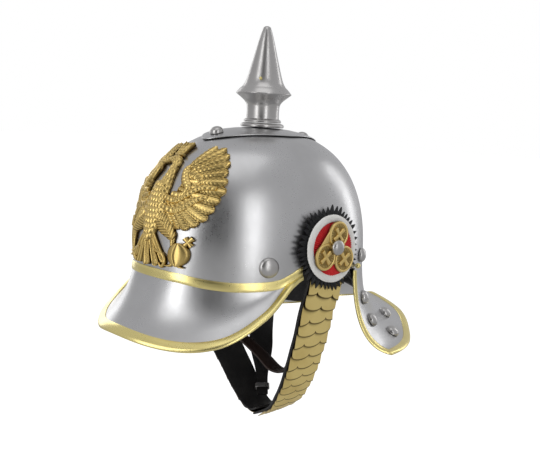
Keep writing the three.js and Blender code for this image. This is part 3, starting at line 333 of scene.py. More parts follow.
# Polished metal, for every metal piece: a fine grain from the polishing wheel, cloudy patches of handling
# and soft wipe marks that run around the form.
polished, metal_in, metal_out = finish_group("polished_metal", [
    ("Metal", "NodeSocketColor", (0.6, 0.6, 0.6, 1)), ("Tarnish", "NodeSocketColor", (0.3, 0.3, 0.3, 1)),
    ("Gloss", "NodeSocketFloat", 0.25), ("Grain", "NodeSocketFloat", 0.06),
    ("Cloud", "NodeSocketFloat", 0.3)])
metal_place = polished.nodes.new("ShaderNodeTexCoord")
metal_grain = noise(polished, metal_place, 900, 3)
metal_cloud = noise(polished, metal_place, 26, 5)
metal_wipe = noise(polished, metal_place, 1, 2, (320, 320, 30))
patches = sum_of(polished, spread(polished, metal_cloud, 0.42, 0.74), metal_in.outputs["Cloud"], 0)
metal_colour = blend(polished, patches, metal_in.outputs["Metal"], metal_in.outputs["Tarnish"])
polished.links.new(metal_colour, metal_out.inputs["Color"])
metal_rough = sum_of(polished, metal_grain, metal_in.outputs["Grain"], metal_in.outputs["Gloss"])
metal_rough = sum_of(polished, metal_wipe, 0.06, metal_rough)
polished.links.new(sum_of(polished, patches, 0.16, metal_rough), metal_out.inputs["Roughness"])
polished.links.new(sum_of(polished, metal_wipe, 0.5, metal_grain), metal_out.inputs["Height"])


def dressed(name, group, values, metallic=0.0, bump=0.1, depth=0.00002, painted_shade=None, painted_shade_end=0.62):
    """A material that places a finish group with its own values, with shade painted in from a point attribute
    where asked.
    """
    material = bpy.data.materials.new(name)
    material.use_nodes = True
    tree = material.node_tree
    shader = tree.nodes["Principled BSDF"]
    shader.inputs["Metallic"].default_value = metallic
    finish = tree.nodes.new("ShaderNodeGroup")
    finish.node_tree = group
    for label, value in values.items():
        finish.inputs[label].default_value = value
    colour = finish.outputs["Color"]
    # Painted shade: where the point attribute falls below its end value, the colour is blended towards the
    # shade colour.
    if painted_shade:
        painted_light_share = tree.nodes.new("ShaderNodeAttribute")
        painted_light_share.attribute_name = "painted_light_share"
        colour = blend(tree, spread(tree, painted_light_share.outputs["Fac"], 0.0, painted_shade_end), painted_shade, colour)
    tree.links.new(colour, shader.inputs["Base Color"])
    tree.links.new(finish.outputs["Roughness"], shader.inputs["Roughness"])
    surface = tree.nodes.new("ShaderNodeBump")
    surface.inputs["Strength"].default_value = bump
    surface.inputs["Distance"].default_value = depth
    tree.links.new(finish.outputs["Height"], surface.inputs["Height"])
    tree.links.new(surface.outputs["Normal"], shader.inputs["Normal"])
    return material


satin_steel = dressed("satin_steel", polished, {
    "Metal": (0.60, 0.60, 0.605, 1), "Tarnish": (0.42, 0.42, 0.42, 1), "Gloss": 0.20, "Grain": 0.12,
    "Cloud": 0.4,
}, metallic=1.0, bump=0.15, depth=0.00002)

GUARD_REACH = 72.0
GUARD_DROP = 80.0
EDGE_GAP = 1.2
WALL_OUT = 0.05
WALL_DOWN = 0.45
guard_stations = [0, 0.25, 0.5, 0.75, 1]
guard_wall_turn = curve_through(guard_stations, [EAR_DEGREES, 134, 150, 165.5, 180])
guard_rim_turn = curve_through(guard_stations, [123.7, 137.1, 151.6, 165.9, 180])
guard_reach = curve_through(guard_stations, [0.53, 0.695, 0.845, 0.997, 1])
guard_drop = curve_through(guard_stations, [1, 1, 0.963, 0.813, 0.688])
guard_flare_out = curve_through(guard_stations, [0.25, 0.2, 0.16, 0.16, 0.16])
guard_flare_down = curve_through(guard_stations, [0.95, 0.85, 0.78, 0.78, 0.78])


def guard_turn(along):
    side = 1 if along < 0 else -1
    return side * math.radians(guard_wall_turn(1 - abs(along)))


def guard_point(along, share):
    """A point of the guard: along from the left ear (-1) round the back to the right ear (1)."""
    away = 1 - abs(along)
    side = 1 if along < 0 else -1
    rim_turn = side * math.radians(guard_rim_turn(away))
    left = 1 - share
    early = 3 * left * left * share
    late = 3 * left * share * share
    out = early * WALL_OUT + late * guard_flare_out(away) + share**3
    down = early * WALL_DOWN + late * guard_flare_down(away) + share**3
    root = skull_point(guard_turn(along), -EDGE_GAP)
    rim = skull_point(rim_turn, 0)
    rim += np.array((math.sin(rim_turn), -math.cos(rim_turn), 0)) * GUARD_REACH * guard_reach(away)
    point = root + (rim - root) * out
    point[2] = root[2] - GUARD_DROP * guard_drop(away) * down
    return point


FRONT_STEPS = 150
GUARD_STEPS = 96
CROWN_ROWS = 54
front_turns = [math.radians(-EAR_DEGREES + 2 * EAR_DEGREES * i / FRONT_STEPS) for i in range(FRONT_STEPS + 1)]
guard_alongs = [-1 + 2 * i / GUARD_STEPS for i in range(GUARD_STEPS + 1)]
skull_turns = front_turns + [guard_turn(along) for along in guard_alongs[1:-1]]
skull_shares = [math.sin(s * math.pi / 2) ** (2 / CROWN_ROUNDNESS) for s in np.linspace(1, 0, CROWN_ROWS)]


def skull_grid(inset):
    top = CROWN_START + CROWN_HEIGHT - inset
    return np.array([[skull_point(turn, skull_edge(turn) + (top - skull_edge(turn)) * share, inset)
                      for share in skull_shares] for turn in skull_turns])


bowl_points, bowl_faces = two_sided(skull_grid(0), skull_grid(STEEL_WALL), True, "")
ring_step = len(skull_shares)
inside_start = len(skull_turns) * ring_step
front_foot = [i * ring_step + ring_step - 1 for i in range(len(front_turns))]
bowl_faces += [(a, b, b + inside_start, a + inside_start) for a, b in zip(front_foot, front_foot[1:])]
guard_shares = np.concatenate([[0, 0.03], np.linspace(0.06, 1, 37)])
guard_outer = np.array([[guard_point(along, share) for share in guard_shares] for along in guard_alongs])
guard_inner = guard_outer + STEEL_WALL * grid_normals(guard_outer)
guard_outer[:, 0] = [skull_point(guard_turn(along), 0) for along in guard_alongs]
guard_inner[:, 0] = [skull_point(guard_turn(along), 0, STEEL_WALL) for along in guard_alongs]
guard_points, guard_faces = two_sided(guard_outer, guard_inner, False, "ends foot")
guard_faces = [tuple(v + len(bowl_points) for v in face) for face in guard_faces]
bowl = mesh_piece("skull_and_guard", np.concatenate([bowl_points, guard_points]), bowl_faces + guard_faces,
                  satin_steel)
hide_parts("skull", "neck_guard")

# Visor: a peak of sheet steel, flared over the eyes and lapped inside the skull's front edge.
# Its joint with the skull lies under the brow band, and it is polished with the skull.
VISOR_REACH = 34.0
VISOR_DROP = 54.0
VISOR_STRAIGHT = 0.35
VISOR_CURVE = 2.4
VISOR_STEPS = 120
VISOR_ROWS = 34
BROW_TURN = math.radians(BROW_DEGREES)
visor_stations = [0, 20, 38, 53, 64, BROW_DEGREES]
visor_reach = curve_through(visor_stations, [1, 0.9, 0.88, 0.61, 0.28, 0.09])
visor_drop = curve_through(visor_stations, [0.93, 0.975, 0.8, 0.425, 0.1, 0.1])


def visor_point(turn, share):
    degrees = abs(math.degrees(turn))
    flare = VISOR_STRAIGHT * share + (1 - VISOR_STRAIGHT) * share**VISOR_CURVE
    out = VISOR_REACH * visor_reach(degrees) * flare
    point = skull_point(turn, skull_edge(turn) - EDGE_GAP)
    down = VISOR_DROP * visor_drop(degrees) * share
    return point + np.array((out * math.sin(turn), -out * math.cos(turn), -down))


visor_turns = [BROW_TURN * (2 * i / VISOR_STEPS - 1) for i in range(VISOR_STEPS + 1)]
visor_shares = np.linspace(0, 1, VISOR_ROWS)
visor_outer = np.array([[visor_point(turn, share) for share in visor_shares] for turn in visor_turns])
visor_inner = visor_outer + STEEL_WALL * grid_normals(visor_outer)
visor = mesh_piece("steel_visor", *two_sided(visor_outer, visor_inner), satin_steel)
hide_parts("visor")

# Brass trims and brow band: strips of pale brass, rolled over the rims of visor and guard,
# and soldered along the joint over the brow.
pale_brass = dressed("pale_brass", polished, {
    "Metal": (0.93, 0.80, 0.34, 1), "Tarnish": (0.62, 0.50, 0.16, 1), "Gloss": 0.20, "Grain": 0.08,
    "Cloud": 0.35,
}, metallic=1.0, bump=0.3, depth=0.00003)


def swept(name, rings, material, smooth_angle=38):
    """A closed piece through closed rings of points, capped at both ends."""
    rings = np.asarray(rings)
    count, corners = rings.shape[:2]
    faces = grid_faces(count, corners, 0, closed_columns=True)
    faces += [tuple(range(corners - 1, -1, -1)), tuple(range((count - 1) * corners, count * corners))]
    return mesh_piece(name, rings.reshape(-1, 3), faces, material, smooth_angle)


def walk_in(line, distance):
    """A point on a line of points, at a distance from its start, and the way the line runs there."""
    lengths = np.linalg.norm(np.diff(line, axis=0), axis=1)
    run = np.concatenate([[0], np.cumsum(lengths)])
    k = min(int(np.searchsorted(run, max(distance, 0.0), side="right")) - 1, len(lengths) - 1)
    way = (line[k + 1] - line[k]) / lengths[k]
    return line[k] + way * (distance - run[k]), way


def edge_trim(name, lines, widths):
    """A strip rolled over a sheet's edge: a soft crown outside and a lip turned in underneath."""
    section = [(1, 0, 0.05), (0.97, 0, 0.6), (0.8, 0, 1.05), (0.5, 0, 1.35), (0.22, 0, 1.3), (0, 0, 1.0),
               (0, -1.0, 0.3), (0, -1.5, -0.7), (0, -1.0, -1.7), (0, 0, -2.2), (0.3, 0, -2.4),
               (0.46, 0, -2.3), (0.48, 0, -1.5)]
    rings = []
    for i, (line, width) in enumerate(zip(lines, widths)):
        along = lines[min(i + 1, len(lines) - 1)][0] - lines[max(i - 1, 0)][0]
        ring = []
        for share, past, up in section:
            point, inward = walk_in(line, share * width + past)
            face = np.cross(along, inward)
            ring.append(point + up * face / np.linalg.norm(face))
        rings.append(ring)
    return swept(name, rings, pale_brass)


VISOR_TRIM_WIDTH = 8.5
VISOR_BARE_WIDTH = 3.0
visor_lines = [column[::-1] for column in visor_outer]
visor_depths = [np.linalg.norm(np.diff(line, axis=0), axis=1).sum() for line in visor_lines]
visor_widths = [min(VISOR_TRIM_WIDTH, depth - VISOR_BARE_WIDTH) for depth in visor_depths]
visor_trim = edge_trim("brass_visor_trim", visor_lines, visor_widths)
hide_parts("visor_trim")


def guard_line(along, share, swing):
    """Points that lead in from the guard's outline, across it at an ear edge (0) and up it at the rim (1)."""
    inward = 1 if along < 0 else -1
    return np.array([guard_point(along + inward * reach * math.cos(swing * math.pi / 2),
                                 share - reach * math.sin(swing * math.pi / 2))
                     for reach in np.linspace(0, 0.22, 12)])


# Each row: where along the guard, how far down it, how far the trim has swung round, and its width.
GUARD_TRIM_WIDTH = 7.5
CORNER_TRIM_WIDTH = 7.4
ear_side = [(-1, share, 0, 3.2 + 4.2 * share) for share in np.linspace(0.01, 0.95, 29)]
ear_side += [(-1 + 0.03 * max(2 * q - 1, 0), 0.95 + 0.05 * min(2 * q, 1), q, CORNER_TRIM_WIDTH)
             for q in np.linspace(0.1, 0.9, 7)]
rim_side = [(along, 1, 1, GUARD_TRIM_WIDTH) for along in np.linspace(-0.97, 0.97, 141)]
other_ear = [(-along, *rest) for along, *rest in reversed(ear_side)]
outline = ear_side + rim_side + other_ear
neck_trim = edge_trim("brass_guard_trim", [guard_line(*row[:3]) for row in outline],
                      [row[3] for row in outline])
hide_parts("neck_trim")

# The band's section, as (up from the joint, out from the steel) rows.
band_section = [(3.5, 0.1), (3.4, 0.6), (2.4, 1.1), (0.9, 1.35), (-0.9, 1.35), (-2.4, 1.1), (-3.4, 0.6),
                (-3.5, 0.1)]
band_rings = []
for turn, column in zip(visor_turns, visor_outer):
    ring = []
    for rise, lift in band_section:
        if rise > 0:
            point = skull_point(turn, skull_edge(turn) + rise)
            ring.append(point + lift * skull_normal(point))
        else:
            point, down = walk_in(column, -rise)
            out = np.cross(down, visor_point(turn + 0.01, 0) - visor_point(turn - 0.01, 0))
            ring.append(point + lift * out / np.linalg.norm(out))
    band_rings.append(ring)
band = swept("brass_brow_band", band_rings, pale_brass)
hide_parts("brow_band")


def lathe(outline, sides, seat, normal):
    """Rings of a turned shape of (radius, height) rows, standing on a seat."""
    normal = np.asarray(normal, dtype=float) / np.linalg.norm(normal)
    aside = np.cross(normal, (0, 0, 1) if abs(normal[2]) < 0.9 else (1, 0, 0))
    aside /= np.linalg.norm(aside)
    ahead = np.cross(normal, aside)
    turns = np.linspace(0, 2 * math.pi, sides, endpoint=False)
    circle = np.cos(turns)[:, None] * aside + np.sin(turns)[:, None] * ahead
    return np.array([seat + normal * height + max(radius, 0.02) * circle for radius, height in outline])


EAR_TURN = math.radians(EAR_DEGREES)
EAR_BALL_RADIUS = 2.6
EAR_BALL_LIFT = 2.9
for side, word in ((1, "left"), (-1, "right")):
    ear_seat = skull_point(side * EAR_TURN, EAR_BALL_RADIUS)
    ear_normal = skull_normal(ear_seat)
    ball_outline = [(EAR_BALL_RADIUS * math.sin(a), EAR_BALL_LIFT - EAR_BALL_RADIUS * math.cos(a))
                    for a in np.linspace(0.02, math.pi, 14)]
    ball = swept(f"brass_ear_ball_{word}", lathe(ball_outline, 24, ear_seat, ear_normal), pale_brass)
    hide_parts(f"ear_ball_{word}")

# Base plate, studs and spike: a pointed oval plate that follows the crown, two domed studs that hold it,
# and a spike turned from solid bar, with a brass vent pin in its cone.
turned_steel = dressed("turned_steel", polished, {
    "Metal": (0.55, 0.54, 0.53, 1), "Tarnish": (0.36, 0.35, 0.34, 1), "Gloss": 0.20, "Grain": 0.12,
    "Cloud": 0.4,
}, metallic=1.0, bump=0.4, depth=0.00003)


def crown_top(x, y):
    reach = SKULL_FRONT_REACH if y < 0 else SKULL_REAR_REACH
    share = min(math.hypot(x / SKULL_HALF_WIDTH, y / reach), 1.0)
    return CROWN_START + CROWN_HEIGHT * (1 - share**CROWN_ROUNDNESS) ** (1 / CROWN_ROUNDNESS)


PLATE_HALF_WIDTH = 40.5
PLATE_HALF_LENGTH = 69.7
PLATE_POINT = 1.56
plate_rings = []
for share, lift in [(0.02, 1.9), (0.3, 1.9), (0.5, 1.9), (0.7, 1.9), (0.85, 1.9), (0.95, 1.9), (0.985, 1.85),
                    (0.997, 1.7), (1, 1.45), (1, 1.1), (0.99, 0.9), (0.95, 0.85), (0.7, 0.85), (0.02, 0.85)]:
    ring = []
    for angle in np.linspace(0, 2 * math.pi, 144, endpoint=False):
        across = abs(math.sin(angle) / PLATE_HALF_WIDTH) ** PLATE_POINT
        lengthwise = abs(math.cos(angle) / PLATE_HALF_LENGTH) ** PLATE_POINT
        reach = share * (across + lengthwise) ** (-1 / PLATE_POINT)
        x, y = reach * math.sin(angle), -reach * math.cos(angle)
        point = np.array((x, y, crown_top(x, y)))
        ring.append(point + lift * skull_normal(point))
    plate_rings.append(ring)
plate = swept("steel_base_plate", plate_rings, satin_steel)
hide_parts("base_plate")


def dome(radius, height):
    edge = [(0, 0), (radius * 0.97, 0), (radius, height * 0.08), (radius * 0.985, height * 0.2)]
    angles = np.linspace(0.12, math.pi / 2, 12)
    return edge + [(radius * 0.97 * math.cos(a), height * (0.2 + 0.8 * math.sin(a))) for a in angles]


STUD_REACH = 55.0
STUD_LIFT = 2.1
for side, word in ((-1, "front"), (1, "back")):
    stud_seat = np.array((0, side * STUD_REACH, crown_top(0, side * STUD_REACH)))
    stud_normal = skull_normal(stud_seat)
    stud_rings = lathe(dome(6.4, 5.6), 48, stud_seat + STUD_LIFT * stud_normal, stud_normal)
    stud = swept(f"steel_stud_{word}", stud_rings, turned_steel)
    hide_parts(f"base_stud_{word}")

PLATE_LIFT = 1.9
plate_top = crown_top(0, 0) + PLATE_LIFT
foot_outline = [(0, 0.1), (19.6, 0.1), (20.5, 0.5), (20.9, 1.3), (20.9, 2.2), (20.5, 3.0), (19.6, 3.6),
                (18.2, 4.1), (17.6, 4.35), (0, 4.35)]
foot_ring = swept("steel_spike_foot", lathe(foot_outline, 96, (0, 0, plate_top), (0, 0, 1)), turned_steel)
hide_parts("spike_ring")

SPIKE_HEIGHT = 90.5
FLANGE_RADIUS = 26.6
spike_ups = [0, 0.014, 0.03, 0.04, 0.17, 0.2, 0.232, 0.266, 0.292, 0.302, 0.314, 0.345, 0.375, 0.42, 0.495,
             0.67, 0.86, 0.985, 0.997]
spike_outs = [0.66, 0.68, 0.64, 0.594, 0.594, 0.63, 0.72, 0.86, 0.975, 1, 0.97, 0.88, 0.775, 0.685, 0.6, 0.44,
              0.27, 0.13, 0.07]
spike_radius = curve_through(spike_ups, spike_outs)
spike_samples = [low + (high - low) * k / 5 for low, high in zip(spike_ups, spike_ups[1:]) for k in range(5)]
spike_samples.append(spike_ups[-1])
spike_outline = [(FLANGE_RADIUS * spike_radius(up), SPIKE_HEIGHT * up) for up in spike_samples]
spike_outline = [(0, 0)] + spike_outline + [(0, SPIKE_HEIGHT)]
spike_foot = plate_top + 4.8
spike = swept("steel_spike", lathe(spike_outline, 112, (0, 0, spike_foot), (0, 0, 1)), turned_steel, 50)
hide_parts("spike")

VENT_RISE = 41
vent_turn = math.radians(36)
vent_normal = np.array((math.sin(vent_turn), -math.cos(vent_turn), 0))
vent_seat = vent_normal * FLANGE_RADIUS * spike_radius(VENT_RISE / SPIKE_HEIGHT)
vent_seat += np.array((0, 0, spike_foot + VENT_RISE))
vent = swept("brass_vent_pin", lathe(dome(1.5, 1.6), 20, vent_seat + 0.3 * vent_normal, vent_normal),
             pale_brass)
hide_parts("vent_pin")

# Rivets: domed steel heads on shanks that go through the sheet steel.
# Two large ones stand over the brow, and five smaller ones down each side of the guard.
for side, word in ((1, "left"), (-1, "right")):
    # each row: node, seat, the way it faces where that isn't the skull's, radius, height and gap under it
    seats = [("brow_rivet_" + word, skull_point(side * math.radians(54.7), 8.6), None, 9.0, 4.4, 0.2),
             (f"guard_rivet_{word}_1", skull_point(side * math.radians(127), 10.4), None, 7.0, 5.2, 0.3)]
    for i, (station, down) in enumerate([(0.2, 0.3), (0.22, 0.56), (0.62, 0.8), (0.36, 0.84)]):
        along = -side * (1 - station)
        seat = guard_point(along, down)
        normal = np.cross(guard_point(along, down + 0.02) - seat, guard_point(along + 0.01, down) - seat)
        seats.append((f"guard_rivet_{word}_{i + 2}", seat, normal, 7.0, 5.6, 0.3))
    for node, seat, normal, radius, height, gap_under in seats:
        normal = skull_normal(seat) if normal is None else normal / np.linalg.norm(normal)
        head = swept("steel_" + node, lathe(dome(radius, height), 48, seat + gap_under * normal, normal),
                     turned_steel)
        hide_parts(node)

# Eagle plate: stamped brass, gilt, laid over the front of the skull. Feathers, ribs and beads stand
# in relief, and shade is painted into the grooves between them and along the edges of each form.
EAGLE_SPAN = 57.0
EAGLE_FOOT = 2.4
EAGLE_HEIGHT = 105.0
EAGLE_GAP = 0.3
EAGLE_EDGE = 1.3
old_gilt = dressed("old_gilt", polished, {
    "Metal": (0.92, 0.68, 0.25, 1), "Tarnish": (0.64, 0.44, 0.13, 1), "Gloss": 0.22, "Grain": 0.1,
    "Cloud": 0.3,
}, metallic=1.0, bump=0.3, depth=0.00004, painted_shade=(0.07, 0.04, 0.01, 1), painted_shade_end=0.75)


def over_front(x, z, lift):
    share = crown_share(z)
    y = -SKULL_FRONT_REACH * np.sqrt(np.maximum(share**2 - (x / SKULL_HALF_WIDTH) ** 2, 0))
    points = np.stack([x, y, z], axis=-1)
    return points + skull_normal(points) * np.asarray(lift)[..., None]


eagle_points, eagle_faces, eagle_painted_light_share = [], [], []


def laid_form(path, halves, crest, detail=None, rows=15, columns=30, tip=0.0, root=0.0, crown=0.55):
    """One closed form of the eagle along a path of (out, up) shares, with a round crown and its detail."""
    path = np.array(path, dtype=float) * (EAGLE_SPAN, EAGLE_HEIGHT) + (0, EAGLE_FOOT)
    stations = np.linspace(0, 1, len(path))
    s = np.linspace(0, 1, columns)
    if len(path) == 2:
        centre = path[0] + s[:, None] * (path[1] - path[0])
    elif len(path) == 3:
        t = s[:, None]
        centre = (1 - t) ** 2 * path[0] + 2 * t * (1 - t) * path[1] + t**2 * path[2]
    else:
        reads = [curve_through(list(stations), list(path[:, axis])) for axis in (0, 1)]
        centre = np.array([[read(v) for read in reads] for v in s])
    along = np.gradient(centre, axis=0)
    along /= np.linalg.norm(along, axis=1, keepdims=True)
    side = np.stack([-along[:, 1], along[:, 0]], axis=1)
    half = np.array([curve_through(list(np.linspace(0, 1, len(halves))), halves)(v) for v in s]) * EAGLE_SPAN
    if tip:
        half = half * np.sqrt(np.clip(1 - (np.maximum(s - (1 - tip), 0) / tip) ** 2, 0.0004, 1))
    if root:
        half = half * np.sqrt(np.clip(1 - (np.maximum(root - s, 0) / root) ** 2, 0.0004, 1))
    a = np.linspace(-1, 1, rows)
    x = centre[:, :1] + side[:, :1] * half[:, None] * a
    z = centre[:, 1:] + side[:, 1:] * half[:, None] * a
    length = np.linalg.norm(np.diff(centre, axis=0), axis=1).sum()
    carved = detail(s[:, None], a[None, :], length, half[:, None]) if detail else np.zeros((columns, rows))
    edge = np.abs(a)[None, :] ** 3
    rise = (1 - np.abs(a) ** 2.2)[None, :] ** crown
    top = EAGLE_EDGE + (crest - EAGLE_EDGE) * rise + carved * (1 - 0.6 * edge)
    outer = over_front(x, z, np.maximum(top, 2 * EAGLE_GAP))
    inner = over_front(x, z, np.full_like(x, EAGLE_GAP))
    start = sum(len(points) for points in eagle_points)
    points, faces = two_sided(outer, inner)
    eagle_points.append(points)
    eagle_faces.extend([tuple(v + start for v in face) for face in faces])
    # Painted shade: darker in the carved grooves and towards the form's edges, unshaded on the raised detail.
    painted_lit = np.clip(0.62 + 0.75 * carved - 0.45 * edge, 0, 1)
    eagle_painted_light_share.append(np.concatenate([painted_lit.ravel(), np.zeros(painted_lit.size)]))


def quill(s, a, length, half):
    """A feather's rib, its slanting barbs and two lengthwise grooves."""
    rib = 0.5 * np.exp(-((a / 0.13) ** 2))
    barbs = 0.42 * np.sin(2 * math.pi * (s * length / 2.6 - np.abs(a) * half / 2.2)) * (np.abs(a) > 0.16)
    grooves = -0.55 * np.exp(-(((np.abs(a) - 0.55) / 0.09) ** 2))
    return rib + barbs + grooves


def small_feathers(pitch):
    """Rows of small overlapping feathers, each with a round end and a rib."""
    def detail(s, a, length, half):
        row = s * length / pitch
        wide = np.maximum(half, 1.0) * a / (pitch * 0.8)
        shifted = wide + 0.5 * (np.floor(row) % 2)
        across = (shifted % 1) - 0.5
        down = row % 1
        end = np.clip(1 - (across / 0.5) ** 2, 0, 1)
        feather = 0.75 * np.clip((down - 0.15) * end, 0, 1)
        gap_below = 0.5 * (down > 0.35 + 0.62 * end)
        return feather - gap_below + 0.2 * np.exp(-((across / 0.1) ** 2))
    return detail


def beads(pitch, height=0.7):
    def detail(s, a, length, half):
        return height * np.abs(np.sin(math.pi * s * length / pitch)) * np.exp(-((a / 0.6) ** 2)) - 0.25
    return detail


def ladder(pitch):
    """Two rails with short rungs between them."""
    def detail(s, a, length, half):
        rails = 0.8 * np.exp(-(((np.abs(a) - 0.78) / 0.16) ** 2))
        steps = np.sin(2 * math.pi * (s * length / pitch + 0.15 * a))
        rungs = 0.55 * np.clip(steps, 0, 1) * (np.abs(a) < 0.6)
        return rails + rungs - 0.3
    return detail


def ribs(count, depth=0.45):
    """Lengthwise ribs."""
    def detail(s, a, length, half):
        return depth * np.cos(math.pi * count * a) + 0 * s
    return detail


def chevrons(pitch):
    def detail(s, a, length, half):
        barbs = np.sin(2 * math.pi * (s * length + np.abs(a) * half * 0.9) / pitch)
        return 0.5 * barbs + 0.2 * np.exp(-((a / 0.1) ** 2))
    return detail


# Each feather: its root and its tip as (out, up) shares of the eagle's size, and half its width.
primaries = [(0.32, 0.8, 0.45, 0.99, 0.07), (0.33, 0.79, 0.6, 0.978, 0.075), (0.34, 0.77, 0.72, 0.93, 0.075),
             (0.35, 0.75, 0.816, 0.869, 0.075), (0.36, 0.73, 0.877, 0.797, 0.075),
             (0.37, 0.71, 0.94, 0.72, 0.075)]
secondaries = [(0.37, 0.68, 0.98, 0.645, 0.075), (0.36, 0.65, 0.965, 0.569, 0.075),
               (0.34, 0.62, 0.94, 0.492, 0.075), (0.32, 0.6, 0.886, 0.421, 0.075),
               (0.3, 0.58, 0.79, 0.369, 0.075), (0.28, 0.56, 0.675, 0.335, 0.07),
               (0.25, 0.54, 0.553, 0.335, 0.065), (0.22, 0.52, 0.447, 0.364, 0.06)]
for side in (1, -1):
    for i, (root_out, root_up, tip_out, tip_up, half) in enumerate(primaries + secondaries):
        laid_form([(side * root_out, root_up), (side * tip_out, tip_up)],
                  [half * 0.55, half * 0.85, half, half * 1.05], 2.9 + 0.5 * (i % 2), quill, columns=42,
                  rows=15, tip=0.13)
    laid_form([(side * 0.30, 0.60), (side * 0.46, 0.60), (side * 0.50, 0.66), (side * 0.40, 0.72),
               (side * 0.33, 0.79), (side * 0.37, 0.82)], [0.055, 0.06, 0.065, 0.07, 0.06, 0.045], 4.9,
              beads(2.6), tip=0.1, columns=60)
    laid_form([(side * 0.34, 0.765), (side * 0.44, 0.77), (side * 0.60, 0.73), (side * 0.66, 0.68)],
              [0.05, 0.055, 0.05, 0.03], 4.3, ladder(2.2), tip=0.12, columns=60)
    laid_form([(side * 0.18, 0.575), (side * 0.38, 0.555), (side * 0.52, 0.60), (side * 0.68, 0.665),
               (side * 0.87, 0.665)],
              [0.045, 0.055, 0.055, 0.05, 0.03], 5.2, ladder(2.6), tip=0.06, columns=90)
    laid_form([(side * 0.18, 0.50), (side * 0.40, 0.475), (side * 0.56, 0.515), (side * 0.68, 0.57),
               (side * 0.82, 0.60)],
              [0.05, 0.06, 0.06, 0.055, 0.03], 4.9, ladder(2.8), tip=0.06, columns=80)
    laid_form([(side * 0.14, 0.42), (side * 0.33, 0.35), (side * 0.5, 0.25)], [0.12, 0.135, 0.07], 4.8,
              chevrons(3.0), columns=60, rows=25, tip=0.1)
    laid_form([(side * 0.47, 0.28), (side * 0.5, 0.17), (side * 0.47, 0.07)], [0.05, 0.035, 0.04], 3.4,
              beads(2.4), tip=0.1)
    for reach, rise, bend in ((0.70, 0.025, 0.0), (0.66, 0.07, 0.03), (0.36, 0.03, -0.01)):
        laid_form([(side * 0.46, 0.085), (side * 0.56, 0.03 + bend), (side * reach, rise)],
                  [0.03, 0.028, 0.012], 3.1, columns=20, rows=9, tip=0.2)
    laid_form([(side * 0.05, 0.28), (side * 0.14, 0.13), (side * 0.22, 0.012)], [0.05, 0.055, 0.075], 3.9,
              ribs(3), tip=0.12)
    laid_form([(side * 0.08, 0.28), (side * 0.25, 0.16), (side * 0.36, 0.05)], [0.045, 0.05, 0.06], 3.3,
              ribs(3), tip=0.15)
    laid_form([(side * 0.20, 0.14), (side * 0.335, 0.115), (side * 0.38, 0.06), (side * 0.33, 0.015),
               (side * 0.28, 0.05)],
              [0.025, 0.03, 0.028, 0.025, 0.015], 3.9, columns=36, rows=9, tip=0.15)
laid_form([(0, 0.30), (0, 0.12), (0, 0.005)], [0.05, 0.06, 0.09], 4.4, ribs(3), tip=0.1, rows=21)
laid_form([(0, 0.68), (0, 0.46), (0, 0.20)], [0.18, 0.27, 0.10], 5.6, small_feathers(4.4), columns=100,
          rows=45, tip=0.1)
laid_form([(0.02, 0.62), (0.09, 0.74), (0.03, 0.86)], [0.17, 0.10, 0.075], 4.7, small_feathers(3.4),
          columns=70, rows=29)
laid_form([(0.07, 0.85), (-0.05, 0.885), (-0.20, 0.85)], [0.065, 0.07, 0.03], 4.6, small_feathers(2.6),
          columns=40, rows=21, root=0.3)
laid_form([(-0.12, 0.865), (-0.21, 0.86), (-0.265, 0.825)], [0.035, 0.03, 0.012], 4.2, columns=20, rows=11,
          tip=0.2)
for spread_out in (-0.10, -0.06, -0.02, 0.02, 0.06):
    laid_form([(-0.05 + spread_out * 0.5, 0.905), (-0.05 + spread_out * 1.1, 0.95),
               (-0.06 + spread_out * 1.5, 0.998)],
              [0.02, 0.028, 0.008], 3.4 + 12 * abs(spread_out + 0.02), beads(2.6, 0.4), columns=30, rows=11)
laid_form([(-0.15, 0.905), (-0.05, 0.898), (0.06, 0.905)], [0.02, 0.022, 0.02], 4.4, beads(2.2, 0.4),
          columns=40, rows=9)
laid_form([(-0.42, 0.02), (-0.60, 0.17), (-0.78, 0.30)], [0.022, 0.02, 0.02], 3.4, columns=40, rows=11)
laid_form([(-0.74, 0.27), (-0.80, 0.31), (-0.86, 0.35)], [0.03, 0.055, 0.02], 4.0, ribs(3, 0.3), columns=30,
          rows=13, tip=0.2)
laid_form([(0.59, 0.226), (0.59, 0.13), (0.59, 0.034)], [0.168, 0.168, 0.168], 6.2,
          lambda s, a, length, half: -0.7 * np.exp(-(((a + 0.25 * np.sin(math.pi * s)) / 0.05) ** 2)) + 0 * s,
          columns=40, rows=41, tip=0.5, root=0.5, crown=0.5)
for start, end in (((0.645, 0.197), (0.77, 0.272)), ((0.66, 0.268), (0.765, 0.205))):
    middle = ((start[0] + end[0]) / 2, (start[1] + end[1]) / 2)
    laid_form([start, middle, end], [0.045, 0.026, 0.045], 3.5, columns=20, rows=9)
eagle = mesh_piece("gilt_eagle", np.concatenate(eagle_points), eagle_faces, old_gilt, 50,
                   np.concatenate(eagle_painted_light_share))
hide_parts("eagle_plate")

# Cockades: a rosette of black ribbon folded into narrow pleats, a cord of off-white braid on it,
# and a field of red pleats inside the braid. One stands on each side over the chin scales.
COCKADE_RISE = 23.4
COCKADE_FORWARD = 2.0
ROSETTE_LIFT = 5.5
ROSETTE_HOLE = 20.0
ROSETTE_RADIUS = 36.6
BRAID_RADIUS = 25.9
BRAID_HALF_WIDTH = 3.1
RED_HOLE = 8.0
RED_WIDTH = 16.2
RED_PLEATS = 35


def over_side(side, y, z, lift):
    reach = np.where(y < 0, SKULL_FRONT_REACH, SKULL_REAR_REACH)
    x = side * SKULL_HALF_WIDTH * np.sqrt(crown_share(z) ** 2 - (y / reach) ** 2)
    points = np.stack([x, y, z], axis=-1)
    return points + skull_normal(points) * np.asarray(lift)[..., None]


